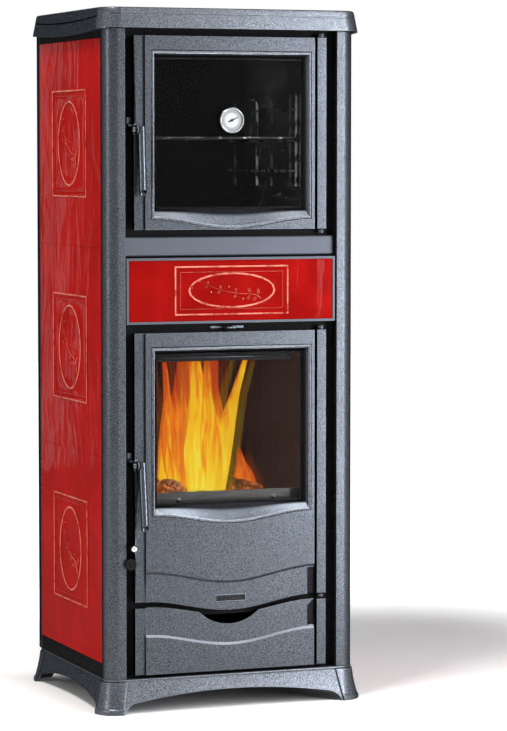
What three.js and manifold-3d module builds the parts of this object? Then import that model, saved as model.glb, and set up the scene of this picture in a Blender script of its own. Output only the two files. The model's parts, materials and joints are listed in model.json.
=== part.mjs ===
// Tiled wood stove: an oven over a firebox, cast corner posts, glazed tiles and an ash drawer.
// Millimetres, +Z up, the front faces -Y, and the origin is on the floor under the middle of the body.
import * as THREE from 'three';
import { mergeVertices } from 'three/addons/utils/BufferGeometryUtils.js';
import Module from 'manifold-3d';

const wasm = await Module();
wasm.setup();

// The whole stove
const bodyWidth = 485; // across the corner posts
const bodyDepth = 420; // over the corner posts, front to back
const gap = 0.3; // left between pieces that touch
const pinGap = 0.35; // round a pin that turns or slides in its hole
const overcut = 5; // how far a cutting tool runs past the face that it cuts
const bite = 1; // how far a body runs into the one that it is joined to

// Heights of the front, from the floor up
const baseHeight = 63;
const baseToDrawer = 5.5;
const drawerHeight = 121.5;
const drawerToDoor = 11.5;
const fireDoorHeight = 489;
const leverStripHeight = 16; // bare front plate where the air lever comes out
const tileFrameHeight = 119.5;
const tileFrameToCrossbar = 3;
const crossbarHeight = 35;
const crossbarToDoor = 13;
const ovenDoorHeight = 349;
const ovenDoorToTop = 13;
const topPlateHeight = 37;

// Layers of the front, measured outwards from the face of the front plate
const sealThickness = 5.4;
const doorThickness = 11.5; // at the strips beside the raised panel
const bandStep = 1.2; // recessed band, over the strips
const panelStep = 4.5; // raised panel, over the strips
const panelSetback = 1; // raised panel, behind the face of the posts
const frontPlateThickness = 4;

// Corner posts
const postWidth = 37;
const postCornerRadius = 25;
const postSideDepth = 30;
const postWall = 5;
const rearPostWidth = 28;
const rearPostSideDepth = 22;
const rearPostRadius = 8;

// Base
const baseFlare = 13.5; // how far the feet stand out from the posts
const flareCurve = 1.5; // power of the flare's curve
const baseWall = 6;
const baseLedgeWidth = 36;
const baseLedgeThickness = 5;
const rimBead = 1.4;
const rimBeadHeight = 4.5;
const rimChamfer = 1.1;
const footProud = 2.6; // the feet, over the skirts between them
const footWidth = 40.5; // at the rim
const footTaper = 7.5; // the foot's inner edge moves this far outwards on its way down
const footSoleHeight = 11;
const footSoleProud = 2.5;
const archRise = 35; // floor to the crown of the arch
const archSpring = 20; // floor to the arch where it meets the foot's curve
const archCornerReach = 24; // how far the arch's tight corner curve runs in from the foot

// Top plate
const topOverhang = 12;
const topTaper = 6;
const topCornerRadius = 37;
const topSag = 9; // how far the side skirts hang down at their middle
const topThickness = 9;
const topGrooveDrop = 14; // top face to the groove in the rim
const topGrooveDepth = 2;
const topGrooveHeight = 3;
const topGrooveShare = 0.62; // share of the rim's taper that lies under the groove
const frontGrooveInset = 23; // side of the plate to the end of the front groove
const topSeatWidth = 30; // flat underside that rests on posts and plates
const coverRadius = 75;
const coverThickness = 6;
const coverLedge = 9;
const coverEdge = 1;
const coverSlot = 28; // length of the slot for the lifting tool

// Side tiles
const tileCount = 3;
const tileThickness = 11;
const tileSetback = 1;
const tileJoint = 0.4;
const lowerRailHeight = 27;
const upperRailHeight = 17.4;
const railWall = 3;
const railSetback = 2.5;
const sideReliefWidth = 204;
const sideReliefHeight = 199;
const sideOvalWidth = 128;
const sideOvalHeight = 155;

// Front tile
const frontSideGap = 2.5; // post to the tile frame and the crossbar
const tileFrameLip = 4.5;
const tileFrameSheet = 1.5;
const tileFrameReturn = 4; // the lip's edge, folded back
const tileFrameSetback = 2;
const frontReliefWidth = 223;
const frontReliefHeight = 91;
const frontOvalWidth = 166;
const frontOvalHeight = 62;

// Raised ornament of every tile
const beadWidth = 4.4;
const beadHeight = 1.7;
const beadSpacing = 12; // outer to inner frame line
const ovalBandWidth = 5.5;
const ovalSegments = 24;

// Panels and plates
const sheet = 2.5;
const crossbarSetback = 12;
const crossbarBevel = 2;

// Doors
const doorSideGap = 18.5; // post to the doors and the drawer
const handleStripWidth = 19.5;
const hingeStripWidth = 18;
const hingeGrooveWidth = 7;
const hingeGrooveFloor = 3; // metal left under the groove beside the hinge strip
const waveSteps = 16;
const doorWaveDip = 22; // lower edge of the firebox door, ends to middle
const doorBandHeight = 50.5; // lower edge to the raised panel, at the ends
const doorBandDip = 23;
const pocketWidth = 12.5;
const pocketDepth = 5;
const ledgeSlope = 5; // height of the slope between the band and the raised panel
const drawerCrest = 2; // the drawer's wave ends stand this far over its strips
const drawerWaveDip = 20;
const drawerPanelHeight = 74;
const drawerPanelDip = 22;
const notchHalfWidth = 55;
const notchOffset = -5;
const notchFloorDrop = 36; // strip top to the bottom of the finger notch
const notchDepth = 21;

// Windows of both doors
const windowSideRim = 43.5; // door edge to the glass opening
const windowTopRim = 38.3; // door top to the glass opening
const ovenWindowHeight = 273;
const fireWindowHeight = 276;
const glassThickness = 4;
const glassOverlap = 7;
const glassSeat = 2; // metal in front of the glass at the opening's edge
const funnelReach = 7.3; // sloping reveal round the glass
const mouldingWidth = 3.4;
const mouldingHeight = 2;
const mouldingGroove = 2;
const mouldingGrooveDepth = 2.8;
const lipDrop = 14; // sill to the moulding at the window's corners
const lipDip = 17.5; // further drop at the middle, the smile under the glass
const retainerThickness = 2;
const retainerReach = 14;
const retainerLip = 3;
const sealWidth = 7;
const sealInset = 19; // door edge to the rope seal

// Mouths in the front plate
const mouthSideInset = 27; // door edge to the mouth, left and right
const mouthInset = 23.5; // door edge to the mouth, top and bottom
const mouthCorner = 8;
const drawerMouthInset = 33; // drawer edge to its mouth, left and right
const drawerMouthHeight = 100;
const drawerMouthRise = 1.5; // drawer's lower edge to its mouth

// Hinges
const hingeInset = 9; // door edge to the pin
const hingeOut = 12.5; // front plate to the pin
const pinRadius = 3;
const pinReach = 8; // how far the pin runs into the door
const lugThickness = 5;
const lugGap = 2.5; // door edge to the lug
const lugWidth = 12;

// Handles and latches
const handleRadius = 7.25;
const handleWall = 1.6;
const handleLength = 124;
const handleInset = 11; // door edge to the tube's axis
const handleCut = 38; // slant of the tube's lower end, degrees
const handlePivotDrop = 5.4; // tube's top to the pivot
const handlePivotOut = 27;
const handlePlug = 18; // solid top of the tube
const ovenHandleDrop = 163; // door top to the handle
const ovenHandleTilt = 4;
const fireHandleDrop = 233.5;
const fireHandleTilt = 7.5;
const spindleRadius = 4;
const cheekThickness = 3;
const cheekRadius = 8.5;
const cheekInset = 0.6; // door edge to the cheek
const camThickness = 5;
const camClearance = 2.5; // door edge to the cam
const camHeight = 10;
const camOut = 5; // front plate to the cam's nose
const camBossRadius = 7;
const camLead = 3; // slope under the cam's nose
const keeperThickness = 3.3;
const keeperReach = 14;
const keeperWidth = 9;
const keeperFoot = 16.5;
const keeperGap = 0.6;

// Thermometer on the oven glass
const thermometerHeight = 160; // lower edge of the glass to the dial's centre
const thermometerRadius = 23.5;
const thermometerDepth = 12;
const dialRecess = 3.5;
const bezelWidth = 2.6;
const needleLength = 16;
const needleWidth = 2.6;
const needleThickness = 0.8;
const needleAngle = 24;

// Controls
const shakerSide = 9.5; // door edge to the shaker rod
const shakerRise = 101.5; // lower edge of the firebox door to the rod
const shakerOut = 42;
const shakerBallRadius = 6.5;
const shakerRodRadius = 3;
const shakerNeck = 4; // thicker end of the rod behind the ball
const shakerTravel = 20;
const dialSide = 11.6; // door edge to the dial's spindle
const dialRise = 71.5;
const dialRadius = 10.5;
const dialThickness = 6;
const dialOut = 25.5;
const dialSpindleRadius = 3.5;
const leverDrop = 8.5; // tile frame to the middle of the lever
const leverWidth = 20;
const leverThickness = 3;
const leverOut = 20;
const leverTravel = 22;
const leverRoom = 1; // clearance of the lever in its slot
const leverCorner = 4;
const slideHeight = 24;
const slideLength = 150;

// Firebox
const shellInset = 62.5; // post's outer face to the shell
const shellDepth = 333;
const shellUnderOven = 77; // lower edge of the oven door to the shell's top
const hearthRise = 98.5; // lower edge of the firebox door to the hearth plate
const hearthThickness = 12;
const shellLedge = 10;
const liningThickness = 16;
const ribPitch = 9;
const ribDepth = 4;
const ribLand = 4; // flat top of each rib
const liningJointRise = 203; // foot of the linings to the joint between their two plates
const liningJoint = 1.5;
const liningDrop = 18.5; // top of the firebox door to the linings
const baffleThickness = 8;
const baffleFrontGap = 60;
const grateWidth = 200;
const grateDepth = 180;
const grateThickness = 8;
const grateLedge = 10;
const grateBars = 9;
const grateSlotWidth = 9;
const grateRim = 14;
const grateCorner = 6;
const grateRoom = 1; // round the grate in its well
const linkWidth = 15;
const linkThickness = 5;
const linkDrop = 14;
const linkBack = 130; // front plate to the shaker's link
const linkStem = 10; // width of the stem that hangs from the grate
const linkPost = 12; // width of the upright that holds the rod
const linkRoom = 4; // clearance of the link in the shell's slot
const linkGrip = 3; // metal round the rod
const guardHeight = 28;
const guardDrop = 8.2; // lower edge of the glass to the guard
const guardThickness = 3;
const guardBack = 12; // rear face of the front plate to the guard

// Ash pan
const panInset = 42; // drawer edge to the pan's side
const panDepth = 300;
const panHeight = 66;
const panWall = 2;
const runnerHeight = 6;
const runnerWidth = 12;
const runnerInset = 12; // pan side to the runner

// Oven
const ovenWall = 2.5;
const ovenDepth = 333;
const ovenFlange = 10;
const ovenSetOut = 1; // the box stands back from the mouth's edge on every side
const ovenCorner = 10;
const rackWire = 2.5;
const rackInset = 6; // oven wall to the rack's uprights
const rackRise = 77; // lower edge of the oven door to the racks
const rackHeight = 170;
const rackFront = 60; // front plate to the rack's front upright
const rackDepth = 200;
const rackLevels = 3;
const guideOver = 12; // a guide runs past its uprights
const shelfWire = 2;
const shelfRise = 2; // shelf over its guide
const shelfBars = 9;
const shelfFront = 20;
const shelfDepth = 260;

// Flue
const flueDrop = 99; // top of the body to the spigot's axis
const flueRadius = 65;
const flueWall = 4;
const flueFlangeWidth = 17;
const flueFlangeThickness = 5;
const flueReach = 25.5; // how far the spigot stands out behind the posts

// Pressed fields of the back panel
const fieldInset = 34; // panel's edge to a field, and half of the strip between two fields
const fieldProud = 2;
const fieldCount = 2;

// Worked out from the sizes above
const halfWidth = bodyWidth / 2;
const frontY = -bodyDepth / 2;
const rearY = bodyDepth / 2;
const drawerBottom = baseHeight + baseToDrawer;
const drawerTop = drawerBottom + drawerHeight;
const fireDoorBottom = drawerTop + drawerToDoor;
const fireDoorTop = fireDoorBottom + fireDoorHeight;
const tileFrameBottom = fireDoorTop + leverStripHeight;
const tileFrameTop = tileFrameBottom + tileFrameHeight;
const crossbarBottom = tileFrameTop + tileFrameToCrossbar;
const crossbarTop = crossbarBottom + crossbarHeight;
const ovenDoorBottom = crossbarTop + crossbarToDoor;
const ovenDoorTop = ovenDoorBottom + ovenDoorHeight;
const bodyTop = ovenDoorTop + ovenDoorToTop;
const stoveTop = bodyTop + topPlateHeight;
const doorBack = sealThickness + 2 * gap;
const stripOut = doorBack + doorThickness;
const bandOut = stripOut + bandStep;
const panelOut = stripOut + panelStep;
const postOut = panelOut + panelSetback;
const frontPlateY = frontY + postOut;
const insideY = frontPlateY + frontPlateThickness + gap; // first free place behind the front plate
const backPanelY = rearY - postWall - gap - sheet; // front face of the back panel
const plateHalf = halfWidth - postWall - gap; // inside the posts' side flanges
const tileFaceX = halfWidth - tileSetback;
const linerOuter = tileFaceX - tileThickness - gap;
const linerInner = linerOuter - sheet;
const floorTop = baseHeight + gap + sheet;
const doorHalf = halfWidth - postWidth - doorSideGap;
const frontPieceHalf = halfWidth - postWidth - frontSideGap; // tile frame and crossbar
const panelLeft = -doorHalf + handleStripWidth;
const panelRight = doorHalf - hingeStripWidth - hingeGrooveWidth;
const hingeX = doorHalf - hingeInset;
const handleX = -doorHalf + handleInset;
const glassFront = doorBack + glassThickness;
const windowHalf = doorHalf - windowSideRim;
const mouthHalf = doorHalf - mouthSideInset;
const shellHalf = halfWidth - shellInset;
const shellTop = ovenDoorBottom - shellUnderOven;
const hearthHeight = fireDoorBottom + hearthRise;
const liningTop = fireDoorTop - liningDrop;
const flueHeight = bodyTop - flueDrop;
const shakerX = -doorHalf - shakerSide;
const shakerHeight = fireDoorBottom + shakerRise;
const dialX = -doorHalf - dialSide;
const dialHeight = fireDoorBottom + dialRise;
const rackBottom = ovenDoorBottom + rackRise;
const drawerMouthHalf = doorHalf - drawerMouthInset;
const panHalf = doorHalf - panInset;
const panBottom = floorTop + runnerHeight + gap;

const ovenDoor = {
  bottom: ovenDoorBottom,
  top: ovenDoorTop,
  windowTop: ovenDoorTop - windowTopRim,
  sill: ovenDoorTop - windowTopRim - ovenWindowHeight,
  handleTop: ovenDoorTop - ovenHandleDrop,
  waveDip: 0,
};
const fireDoor = {
  bottom: fireDoorBottom,
  top: fireDoorTop,
  windowTop: fireDoorTop - windowTopRim,
  sill: fireDoorTop - windowTopRim - fireWindowHeight,
  handleTop: fireDoorTop - fireHandleDrop,
  waveDip: doorWaveDip,
};

// Finishes
function finish(color, roughness, metalness) {
  return new THREE.MeshStandardMaterial({ color, roughness, metalness });
}

const castGrey = () => finish('#646970', 0.62, 0.55);
const barGrey = () => finish('#82858e', 0.45, 0.6);
const sheetBlack = () => finish('#12100c', 0.7, 0.3);
const redGlaze = () => finish('#c01412', 0.12, 0);
const bareSteel = () => finish('#a9adb3', 0.28, 1);
const chrome = () => finish('#d6d8db', 0.08, 1);
const castBrown = () => finish('#2c221d', 0.85, 0.2);
const ropeGrey = () => finish('#3a3a38', 0.95, 0);
const glassDark = () => {
  const glass = finish('#20201e', 0.03, 0);
  glass.transparent = true;
  glass.opacity = 0.35;
  return glass;
};

// Solids and their cuts
function solidOf(geometry) {
  const bare = geometry.clone();
  bare.deleteAttribute('normal');
  bare.deleteAttribute('uv');
  const merged = mergeVertices(bare, 1e-4);
  return new wasm.Manifold(new wasm.Mesh({
    numProp: 3,
    vertProperties: new Float32Array(merged.attributes.position.array),
    triVerts: new Uint32Array(merged.index.array),
  }));
}

function geometryOf(solid) {
  const mesh = solid.getMesh();
  const geometry = new THREE.BufferGeometry();
  geometry.setAttribute('position', new THREE.BufferAttribute(new Float32Array(mesh.vertProperties), 3));
  geometry.setIndex(new THREE.BufferAttribute(new Uint32Array(mesh.triVerts), 1));
  geometry.computeVertexNormals();
  return geometry;
}

const join = (...solids) => solids.reduce((whole, solid) => whole.add(solid));
const cut = (whole, ...tools) => tools.reduce((rest, tool) => rest.subtract(tool), whole);

// Flat outlines
function rectangle(left, right, low, high) {
  const shape = new THREE.Shape();
  shape.moveTo(left, low);
  shape.lineTo(right, low);
  shape.lineTo(right, high);
  shape.lineTo(left, high);
  shape.closePath();
  return shape;
}

function roundedRectangle(left, right, low, high, radius) {
  const shape = new THREE.Shape();
  shape.moveTo(left + radius, low);
  shape.lineTo(right - radius, low);
  shape.absarc(right - radius, low + radius, radius, -Math.PI / 2, 0);
  shape.lineTo(right, high - radius);
  shape.absarc(right - radius, high - radius, radius, 0, Math.PI / 2);
  shape.lineTo(left + radius, high);
  shape.absarc(left + radius, high - radius, radius, Math.PI / 2, Math.PI);
  shape.lineTo(left, low + radius);
  shape.absarc(left + radius, low + radius, radius, Math.PI, Math.PI * 1.5);
  return shape;
}

function polygon(points) {
  return new THREE.Shape(points.map(([across, up]) => new THREE.Vector2(across, up)));
}

function circle(across, up, radius) {
  const shape = new THREE.Shape();
  shape.absarc(across, up, radius, 0, Math.PI * 2);
  return shape;
}

// Extrusions: a shape drawn in two axes and pulled along the third
const alongX = new THREE.Matrix4().makeBasis(
  new THREE.Vector3(0, 1, 0),
  new THREE.Vector3(0, 0, 1),
  new THREE.Vector3(1, 0, 0),
);

function pull(shape, from, to, segments = 8) {
  const geometry = new THREE.ExtrudeGeometry(shape, {
    depth: to - from,
    bevelEnabled: false,
    curveSegments: segments,
  });
  geometry.translate(0, 0, from);
  return solidOf(geometry);
}

function pullX(shape, from, to, segments = 8) {
  const geometry = new THREE.ExtrudeGeometry(shape, {
    depth: to - from,
    bevelEnabled: false,
    curveSegments: segments,
  });
  geometry.translate(0, 0, from);
  geometry.applyMatrix4(alongX);
  return solidOf(geometry);
}

function block(left, right, front, back, low, high) {
  return pull(rectangle(left, right, front, back), low, high);
}

// A rod between two points
function rod(from, to, radius, segments = 10) {
  const start = new THREE.Vector3(...from);
  const end = new THREE.Vector3(...to);
  const along = end.clone().sub(start);
  const geometry = new THREE.CylinderGeometry(radius, radius, along.length(), segments);
  const upright = new THREE.Vector3(0, 1, 0);
  const turn = new THREE.Quaternion().setFromUnitVectors(upright, along.clone().normalize());
  geometry.applyQuaternion(turn);
  geometry.translate(...start.add(end).multiplyScalar(0.5).toArray());
  return solidOf(geometry);
}

// A turned piece: profile points are [radius, height], upwards from axis to axis
function turned(profile, segments = 24) {
  const points = profile.map(([radius, height]) => new THREE.Vector2(radius, height));
  const geometry = new THREE.LatheGeometry(points, segments);
  geometry.rotateX(Math.PI / 2);
  return solidOf(geometry);
}

// Skins that join a row of loops with equal numbers of points
function skin(loops, closed) {
  const count = loops[0].length;
  const positions = loops.flat().flat();
  const index = [];
  const rows = closed ? loops.length : loops.length - 1;
  for (let row = 0; row < rows; row += 1) {
    const next = (row + 1) % loops.length;
    for (let step = 0; step < count; step += 1) {
      const after = (step + 1) % count;
      const a = row * count + step;
      const b = row * count + after;
      const c = next * count + step;
      const d = next * count + after;
      index.push(a, b, d, a, d, c);
    }
  }
  if (!closed) {
    const flat = (loop) => loop.map(([across, up]) => new THREE.Vector2(across, up));
    const last = (loops.length - 1) * count;
    for (const [a, b, c] of THREE.ShapeUtils.triangulateShape(flat(loops[0]), [])) {
      index.push(a, c, b);
    }
    for (const [a, b, c] of THREE.ShapeUtils.triangulateShape(flat(loops[loops.length - 1]), [])) {
      index.push(last + a, last + b, last + c);
    }
  }
  const solid = new wasm.Manifold(new wasm.Mesh({
    numProp: 3,
    vertProperties: new Float32Array(positions),
    triVerts: new Uint32Array(index),
  }));
  if (solid.volume() > 0) return solid;
  // the loops ran the other way round: turn every face over
  return new wasm.Manifold(new wasm.Mesh({
    numProp: 3,
    vertProperties: new Float32Array(positions),
    triVerts: new Uint32Array(index).reverse(),
  }));
}

// The assembly
const stove = new THREE.Group();
const front = new THREE.Group(); // own axes: across, up, and out towards the room
front.rotation.x = Math.PI / 2;
front.position.y = frontPlateY;
stove.add(front);

function place(parent, name, solid, material) {
  const mesh = new THREE.Mesh(geometryOf(solid), material);
  mesh.name = name;
  parent.add(mesh);
  return mesh;
}

// ---- base: a flared frame on four feet ----
function cornerLoop(halfX, halfY, radius, height, steps = 4) {
  const loop = [];
  for (const [quarter, [signX, signY]] of [[1, -1], [1, 1], [-1, 1], [-1, -1]].entries()) {
    for (let step = 0; step <= steps; step += 1) {
      const angle = (quarter - 1 + step / steps) * (Math.PI / 2);
      loop.push([
        signX * (halfX - radius) + radius * Math.cos(angle),
        signY * (halfY - radius) + radius * Math.sin(angle),
        height,
      ]);
    }
  }
  return loop;
}

function flaredBody(levels) {
  return skin(levels.map(([height, grow]) => cornerLoop(
    halfWidth + grow,
    rearY + grow,
    postCornerRadius + grow,
    height,
  )), false);
}

function base() {
  const flareAt = (height) => baseFlare * ((baseHeight - height) / baseHeight) ** flareCurve;
  const rimFoot = baseHeight - rimBeadHeight;
  const heights = [0, 0.22, 0.44, 0.68].map((share) => share * rimFoot);
  const rim = [
    [rimFoot, flareAt(rimFoot)],
    [rimFoot + rimChamfer, rimBead],
    [baseHeight - rimChamfer, rimBead],
    [baseHeight, 0],
  ];
  const skirt = flaredBody([...heights.map((height) => [height, flareAt(height)]), ...rim]);
  const sole = [
    [0, baseFlare + footSoleProud - footProud],
    [footSoleHeight - 2, flareAt(footSoleHeight) + footSoleProud],
    [footSoleHeight, flareAt(footSoleHeight)],
  ];
  const overSole = heights.filter((height) => height > footSoleHeight + 1);
  const above = overSole.map((height) => [height, flareAt(height)]);
  const footLevels = [...sole, ...above, [rimFoot, flareAt(rimFoot)], [baseHeight, 0]];
  const feet = flaredBody(footLevels.map(([height, grow]) => [height, grow + footProud]));
  const edge = halfWidth - footWidth;
  const sideEdge = rearY - footWidth;
  const far = halfWidth + rearY;
  const wedge = (inner, side) => polygon([
    [side * inner, baseHeight + overcut],
    [side * (inner + footTaper * 2), -overcut],
    [side * far, -overcut],
    [side * far, baseHeight + overcut],
  ]);
  const ends = join(...[-1, 1].map((side) => turnOut(wedge(edge, side), far)));
  const flanks = join(...[-1, 1].map((side) => pullX(wedge(sideEdge, side), -far, far)));
  const lid = block(-far, far, -far, far, rimFoot, baseHeight + overcut);
  const corners = cut(feet.intersect(ends).intersect(flanks), lid);
  const hollow = skin([[-overcut, flareAt(0)], [0, flareAt(0)], [baseHeight * 0.5, flareAt(baseHeight * 0.5)],
    [baseHeight - baseLedgeThickness, 0]].map(([height, grow]) => cornerLoop(
    halfWidth - baseWall + grow,
    rearY - baseWall + grow,
    postCornerRadius - baseWall + grow,
    height,
  )), false);
  const opening = pull(roundedRectangle(
    -halfWidth + baseLedgeWidth,
    halfWidth - baseLedgeWidth,
    frontY + baseLedgeWidth,
    rearY - baseLedgeWidth,
    postCornerRadius,
  ), 0, baseHeight + overcut);
  const arches = [
    turnOut(arch(halfWidth - footWidth + footTaper), far),
    pullX(arch(rearY - footWidth + footTaper), -far, far),
  ];
  return cut(join(skirt, corners), hollow, opening, ...arches);
}

// A shape drawn in (x, z), pulled through the stove from front to back
function turnOut(shape, reach) {
  const geometry = new THREE.ExtrudeGeometry(shape, {
    depth: 2 * reach,
    bevelEnabled: false,
    curveSegments: 10,
  });
  geometry.rotateX(Math.PI / 2);
  geometry.translate(0, reach, 0);
  return solidOf(geometry);
}

function arch(half) {
  const spring = half - archCornerReach;
  const crown = 2 * archRise - archSpring;
  const shape = new THREE.Shape();
  shape.moveTo(-half - overcut, -overcut);
  shape.lineTo(half + overcut, -overcut);
  shape.quadraticCurveTo(half - 2, archSpring - 2, spring, archSpring);
  shape.quadraticCurveTo(0, crown, -spring, archSpring);
  shape.quadraticCurveTo(-half + 2, archSpring - 2, -half - overcut, -overcut);
  return shape;
}

place(stove, 'base_frame', base(), castGrey());

// ---- carcass ----
function frontPost(side) {
  const outer = halfWidth;
  const inner = halfWidth - postWidth;
  const radius = postCornerRadius;
  const centreX = outer - radius;
  const centreY = frontY + radius;
  const returnY = frontPlateY - gap;
  const sideEnd = frontY + postSideDepth;
  const shape = new THREE.Shape();
  shape.moveTo(inner, returnY);
  shape.lineTo(inner, frontY);
  shape.lineTo(centreX, frontY);
  shape.absarc(centreX, centreY, radius, -Math.PI / 2, 0);
  shape.lineTo(outer, sideEnd);
  shape.lineTo(outer - postWall, sideEnd);
  shape.lineTo(outer - postWall, centreY);
  shape.absarc(centreX, centreY, radius - postWall, 0, -Math.PI / 2, true);
  shape.lineTo(inner + postWall, frontY + postWall);
  shape.lineTo(inner + postWall, returnY);
  shape.closePath();
  return mirrored(pull(shape, baseHeight + gap, bodyTop - gap, 8), side);
}

function mirrored(solid, side) {
  return side < 0 ? solid.mirror([1, 0, 0]) : solid;
}

function rearPost(side) {
  const outer = halfWidth;
  const radius = rearPostRadius;
  const shape = new THREE.Shape();
  shape.moveTo(outer, rearY - rearPostSideDepth);
  shape.lineTo(outer, rearY - radius);
  shape.absarc(outer - radius, rearY - radius, radius, 0, Math.PI / 2);
  shape.lineTo(outer - rearPostWidth, rearY);
  shape.lineTo(outer - rearPostWidth, rearY - postWall);
  shape.lineTo(outer - postWall, rearY - postWall);
  shape.lineTo(outer - postWall, rearY - rearPostSideDepth);
  shape.closePath();
  return mirrored(pull(shape, baseHeight + gap, bodyTop - gap, 5), side);
}

for (const [word, side] of [['left', -1], ['right', 1]]) {
  place(stove, `post_front_${word}`, frontPost(side), castGrey());
  place(stove, `post_rear_${word}`, rearPost(side), castGrey());
  const liner = block(linerInner, linerOuter, insideY, backPanelY - gap, baseHeight + gap, bodyTop - gap);
  place(stove, `side_liner_${word}`, mirrored(liner, side), sheetBlack());
}

function floorPlate() {
  const half = linerInner - gap;
  const plate = block(-half, half, insideY, backPanelY - gap, baseHeight + gap, floorTop);
  const runnerOuter = panHalf - runnerInset;
  const back = insideY + panDepth;
  const runnerInner = runnerOuter - runnerWidth;
  const runner = (side) => mirrored(
    block(runnerInner, runnerOuter, insideY, back, floorTop - sheet / 2, floorTop + runnerHeight),
    side,
  );
  return join(plate, runner(-1), runner(1));
}

place(stove, 'floor_plate', floorPlate(), sheetBlack());

function backPanel() {
  const plate = block(-plateHalf, plateHalf, backPanelY, backPanelY + sheet, baseHeight + gap, bodyTop - gap);
  const hole = rod(
    [0, backPanelY - overcut, flueHeight],
    [0, backPanelY + sheet + overcut, flueHeight],
    flueRadius,
    32,
  );
  // the fields share the height under the flue's flange
  const low = baseHeight + fieldInset;
  const pitch = (flueHeight - flueRadius - flueFlangeWidth - low) / fieldCount;
  const fields = Array.from({ length: fieldCount }, (_, row) => block(
    -plateHalf + fieldInset,
    plateHalf - fieldInset,
    backPanelY + sheet / 2,
    backPanelY + sheet + fieldProud,
    low + row * pitch,
    low + (row + 1) * pitch - fieldInset,
  ));
  return cut(join(plate, ...fields), hole);
}

place(stove, 'back_panel', backPanel(), sheetBlack());

function flueCollar() {
  const flangeY = backPanelY + sheet + gap;
  const end = rearY + flueReach;
  const flange = rod(
    [0, flangeY, flueHeight],
    [0, flangeY + flueFlangeThickness, flueHeight],
    flueRadius + flueFlangeWidth,
    32,
  );
  const spigot = rod([0, flangeY + bite, flueHeight], [0, end, flueHeight], flueRadius, 32);
  const bore = rod(
    [0, flangeY - overcut, flueHeight],
    [0, end + overcut, flueHeight],
    flueRadius - flueWall,
    32,
  );
  return cut(join(flange, spigot), bore);
}

place(stove, 'flue_collar', flueCollar(), castGrey());

// ---- side tiles in their carriers ----
function carrier(side) {
  // a lower and an upper rail, joined behind the posts by two thin uprights
  const faceX = halfWidth - railSetback;
  const backX = linerOuter + gap;
  const start = frontY + postSideDepth + gap;
  const end = rearY - rearPostSideDepth - gap;
  const low = baseHeight + gap;
  const lowTop = baseHeight + lowerRailHeight - gap;
  const high = bodyTop - upperRailHeight + gap;
  const highTop = bodyTop - gap;
  const railShape = (bottom, top, shelfAtTop) => {
    const shelf = shelfAtTop ? [top - railWall, top] : [bottom, bottom + railWall];
    return [
      block(faceX - railWall, faceX, start, end, bottom, top),
      block(backX, faceX - railWall / 2, start, end, ...shelf),
    ];
  };
  // the uprights stand hidden beside the posts' side flanges
  const rearEnd = end + gap + 2 * railWall;
  const upright = (from, to) => block(backX, plateHalf, from, to, low, highTop);
  const uprights = [upright(insideY, start - gap), upright(end + gap, rearEnd)];
  const ties = [[low, low + railWall], [highTop - railWall, highTop]].map(([bottom, top]) => join(
    block(backX, plateHalf, insideY, rearEnd, bottom, top),
    block(backX, faceX - railWall / 2, start, end, bottom, top),
  ));
  const lowerRail = railShape(low, lowTop, true);
  const upperRail = railShape(high, highTop, false);
  return mirrored(join(...lowerRail, ...upperRail, ...uprights, ...ties), side);
}

// A raised line that follows a loop; the profile is [reach outwards, height over the face]
function bead(loopAt, width, height, face) {
  const profile = [
    [-width / 2, -bite],
    [-width / 2, 0],
    [-width / 5, height],
    [width / 5, height],
    [width / 2, 0],
    [width / 2, -bite],
  ];
  const raised = (loop, lift) => loop.map(([across, up]) => [across, up, face + lift]);
  const loops = profile.map(([reach, lift]) => raised(loopAt(reach), lift));
  return skin(loops.reverse(), true);
}

const rectangleLoop = (width, height) => (reach) => {
  const across = width / 2 + reach;
  const up = height / 2 + reach;
  return [[-across, -up], [across, -up], [across, up], [-across, up]];
};

const ovalLoop = (width, height) => (reach) => Array.from({ length: ovalSegments }, (_, step) => {
  const angle = (step / ovalSegments) * Math.PI * 2;
  return [(width / 2 + reach) * Math.cos(angle), (height / 2 + reach) * Math.sin(angle)];
});

// A tile lies face up in its own frame: across, up the tile, and out of its face at zero
function tile(width, height, reliefWidth, reliefHeight, ovalWidth, ovalHeight) {
  const slab = pull(rectangle(-width / 2, width / 2, -height / 2, height / 2), -tileThickness, 0);
  const inner = 2 * beadSpacing;
  return join(
    slab,
    bead(rectangleLoop(reliefWidth - beadWidth, reliefHeight - beadWidth), beadWidth, beadHeight, 0),
    bead(rectangleLoop(reliefWidth - inner, reliefHeight - inner), beadWidth / 2, beadHeight * 0.6, 0),
    bead(ovalLoop(ovalWidth, ovalHeight), ovalBandWidth, beadHeight, 0),
  );
}

const sideTileDepth = bodyDepth - postSideDepth - rearPostSideDepth - 2 * gap;
const sideTileHeight = (bodyTop - baseHeight - lowerRailHeight - upperRailHeight) / tileCount;
const sideTileY = (frontY + postSideDepth + rearY - rearPostSideDepth) / 2;

for (const [word, side] of [['left', -1], ['right', 1]]) {
  place(stove, `tile_carrier_${word}`, carrier(side), sheetBlack());
  for (let row = 0; row < tileCount; row += 1) {
    const solid = tile(
      sideTileDepth,
      sideTileHeight - tileJoint,
      sideReliefWidth,
      sideReliefHeight,
      sideOvalWidth,
      sideOvalHeight,
    );
    const mesh = place(stove, `side_tile_${word}_${row + 1}`, solid, redGlaze());
    const frame = new THREE.Matrix4().makeBasis(
      new THREE.Vector3(0, side, 0),
      new THREE.Vector3(0, 0, 1),
      new THREE.Vector3(side, 0, 0),
    );
    mesh.quaternion.setFromRotationMatrix(frame);
    const middle = baseHeight + lowerRailHeight + (row + 0.5) * sideTileHeight;
    mesh.position.set(side * tileFaceX, sideTileY, middle);
  }
}

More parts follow.
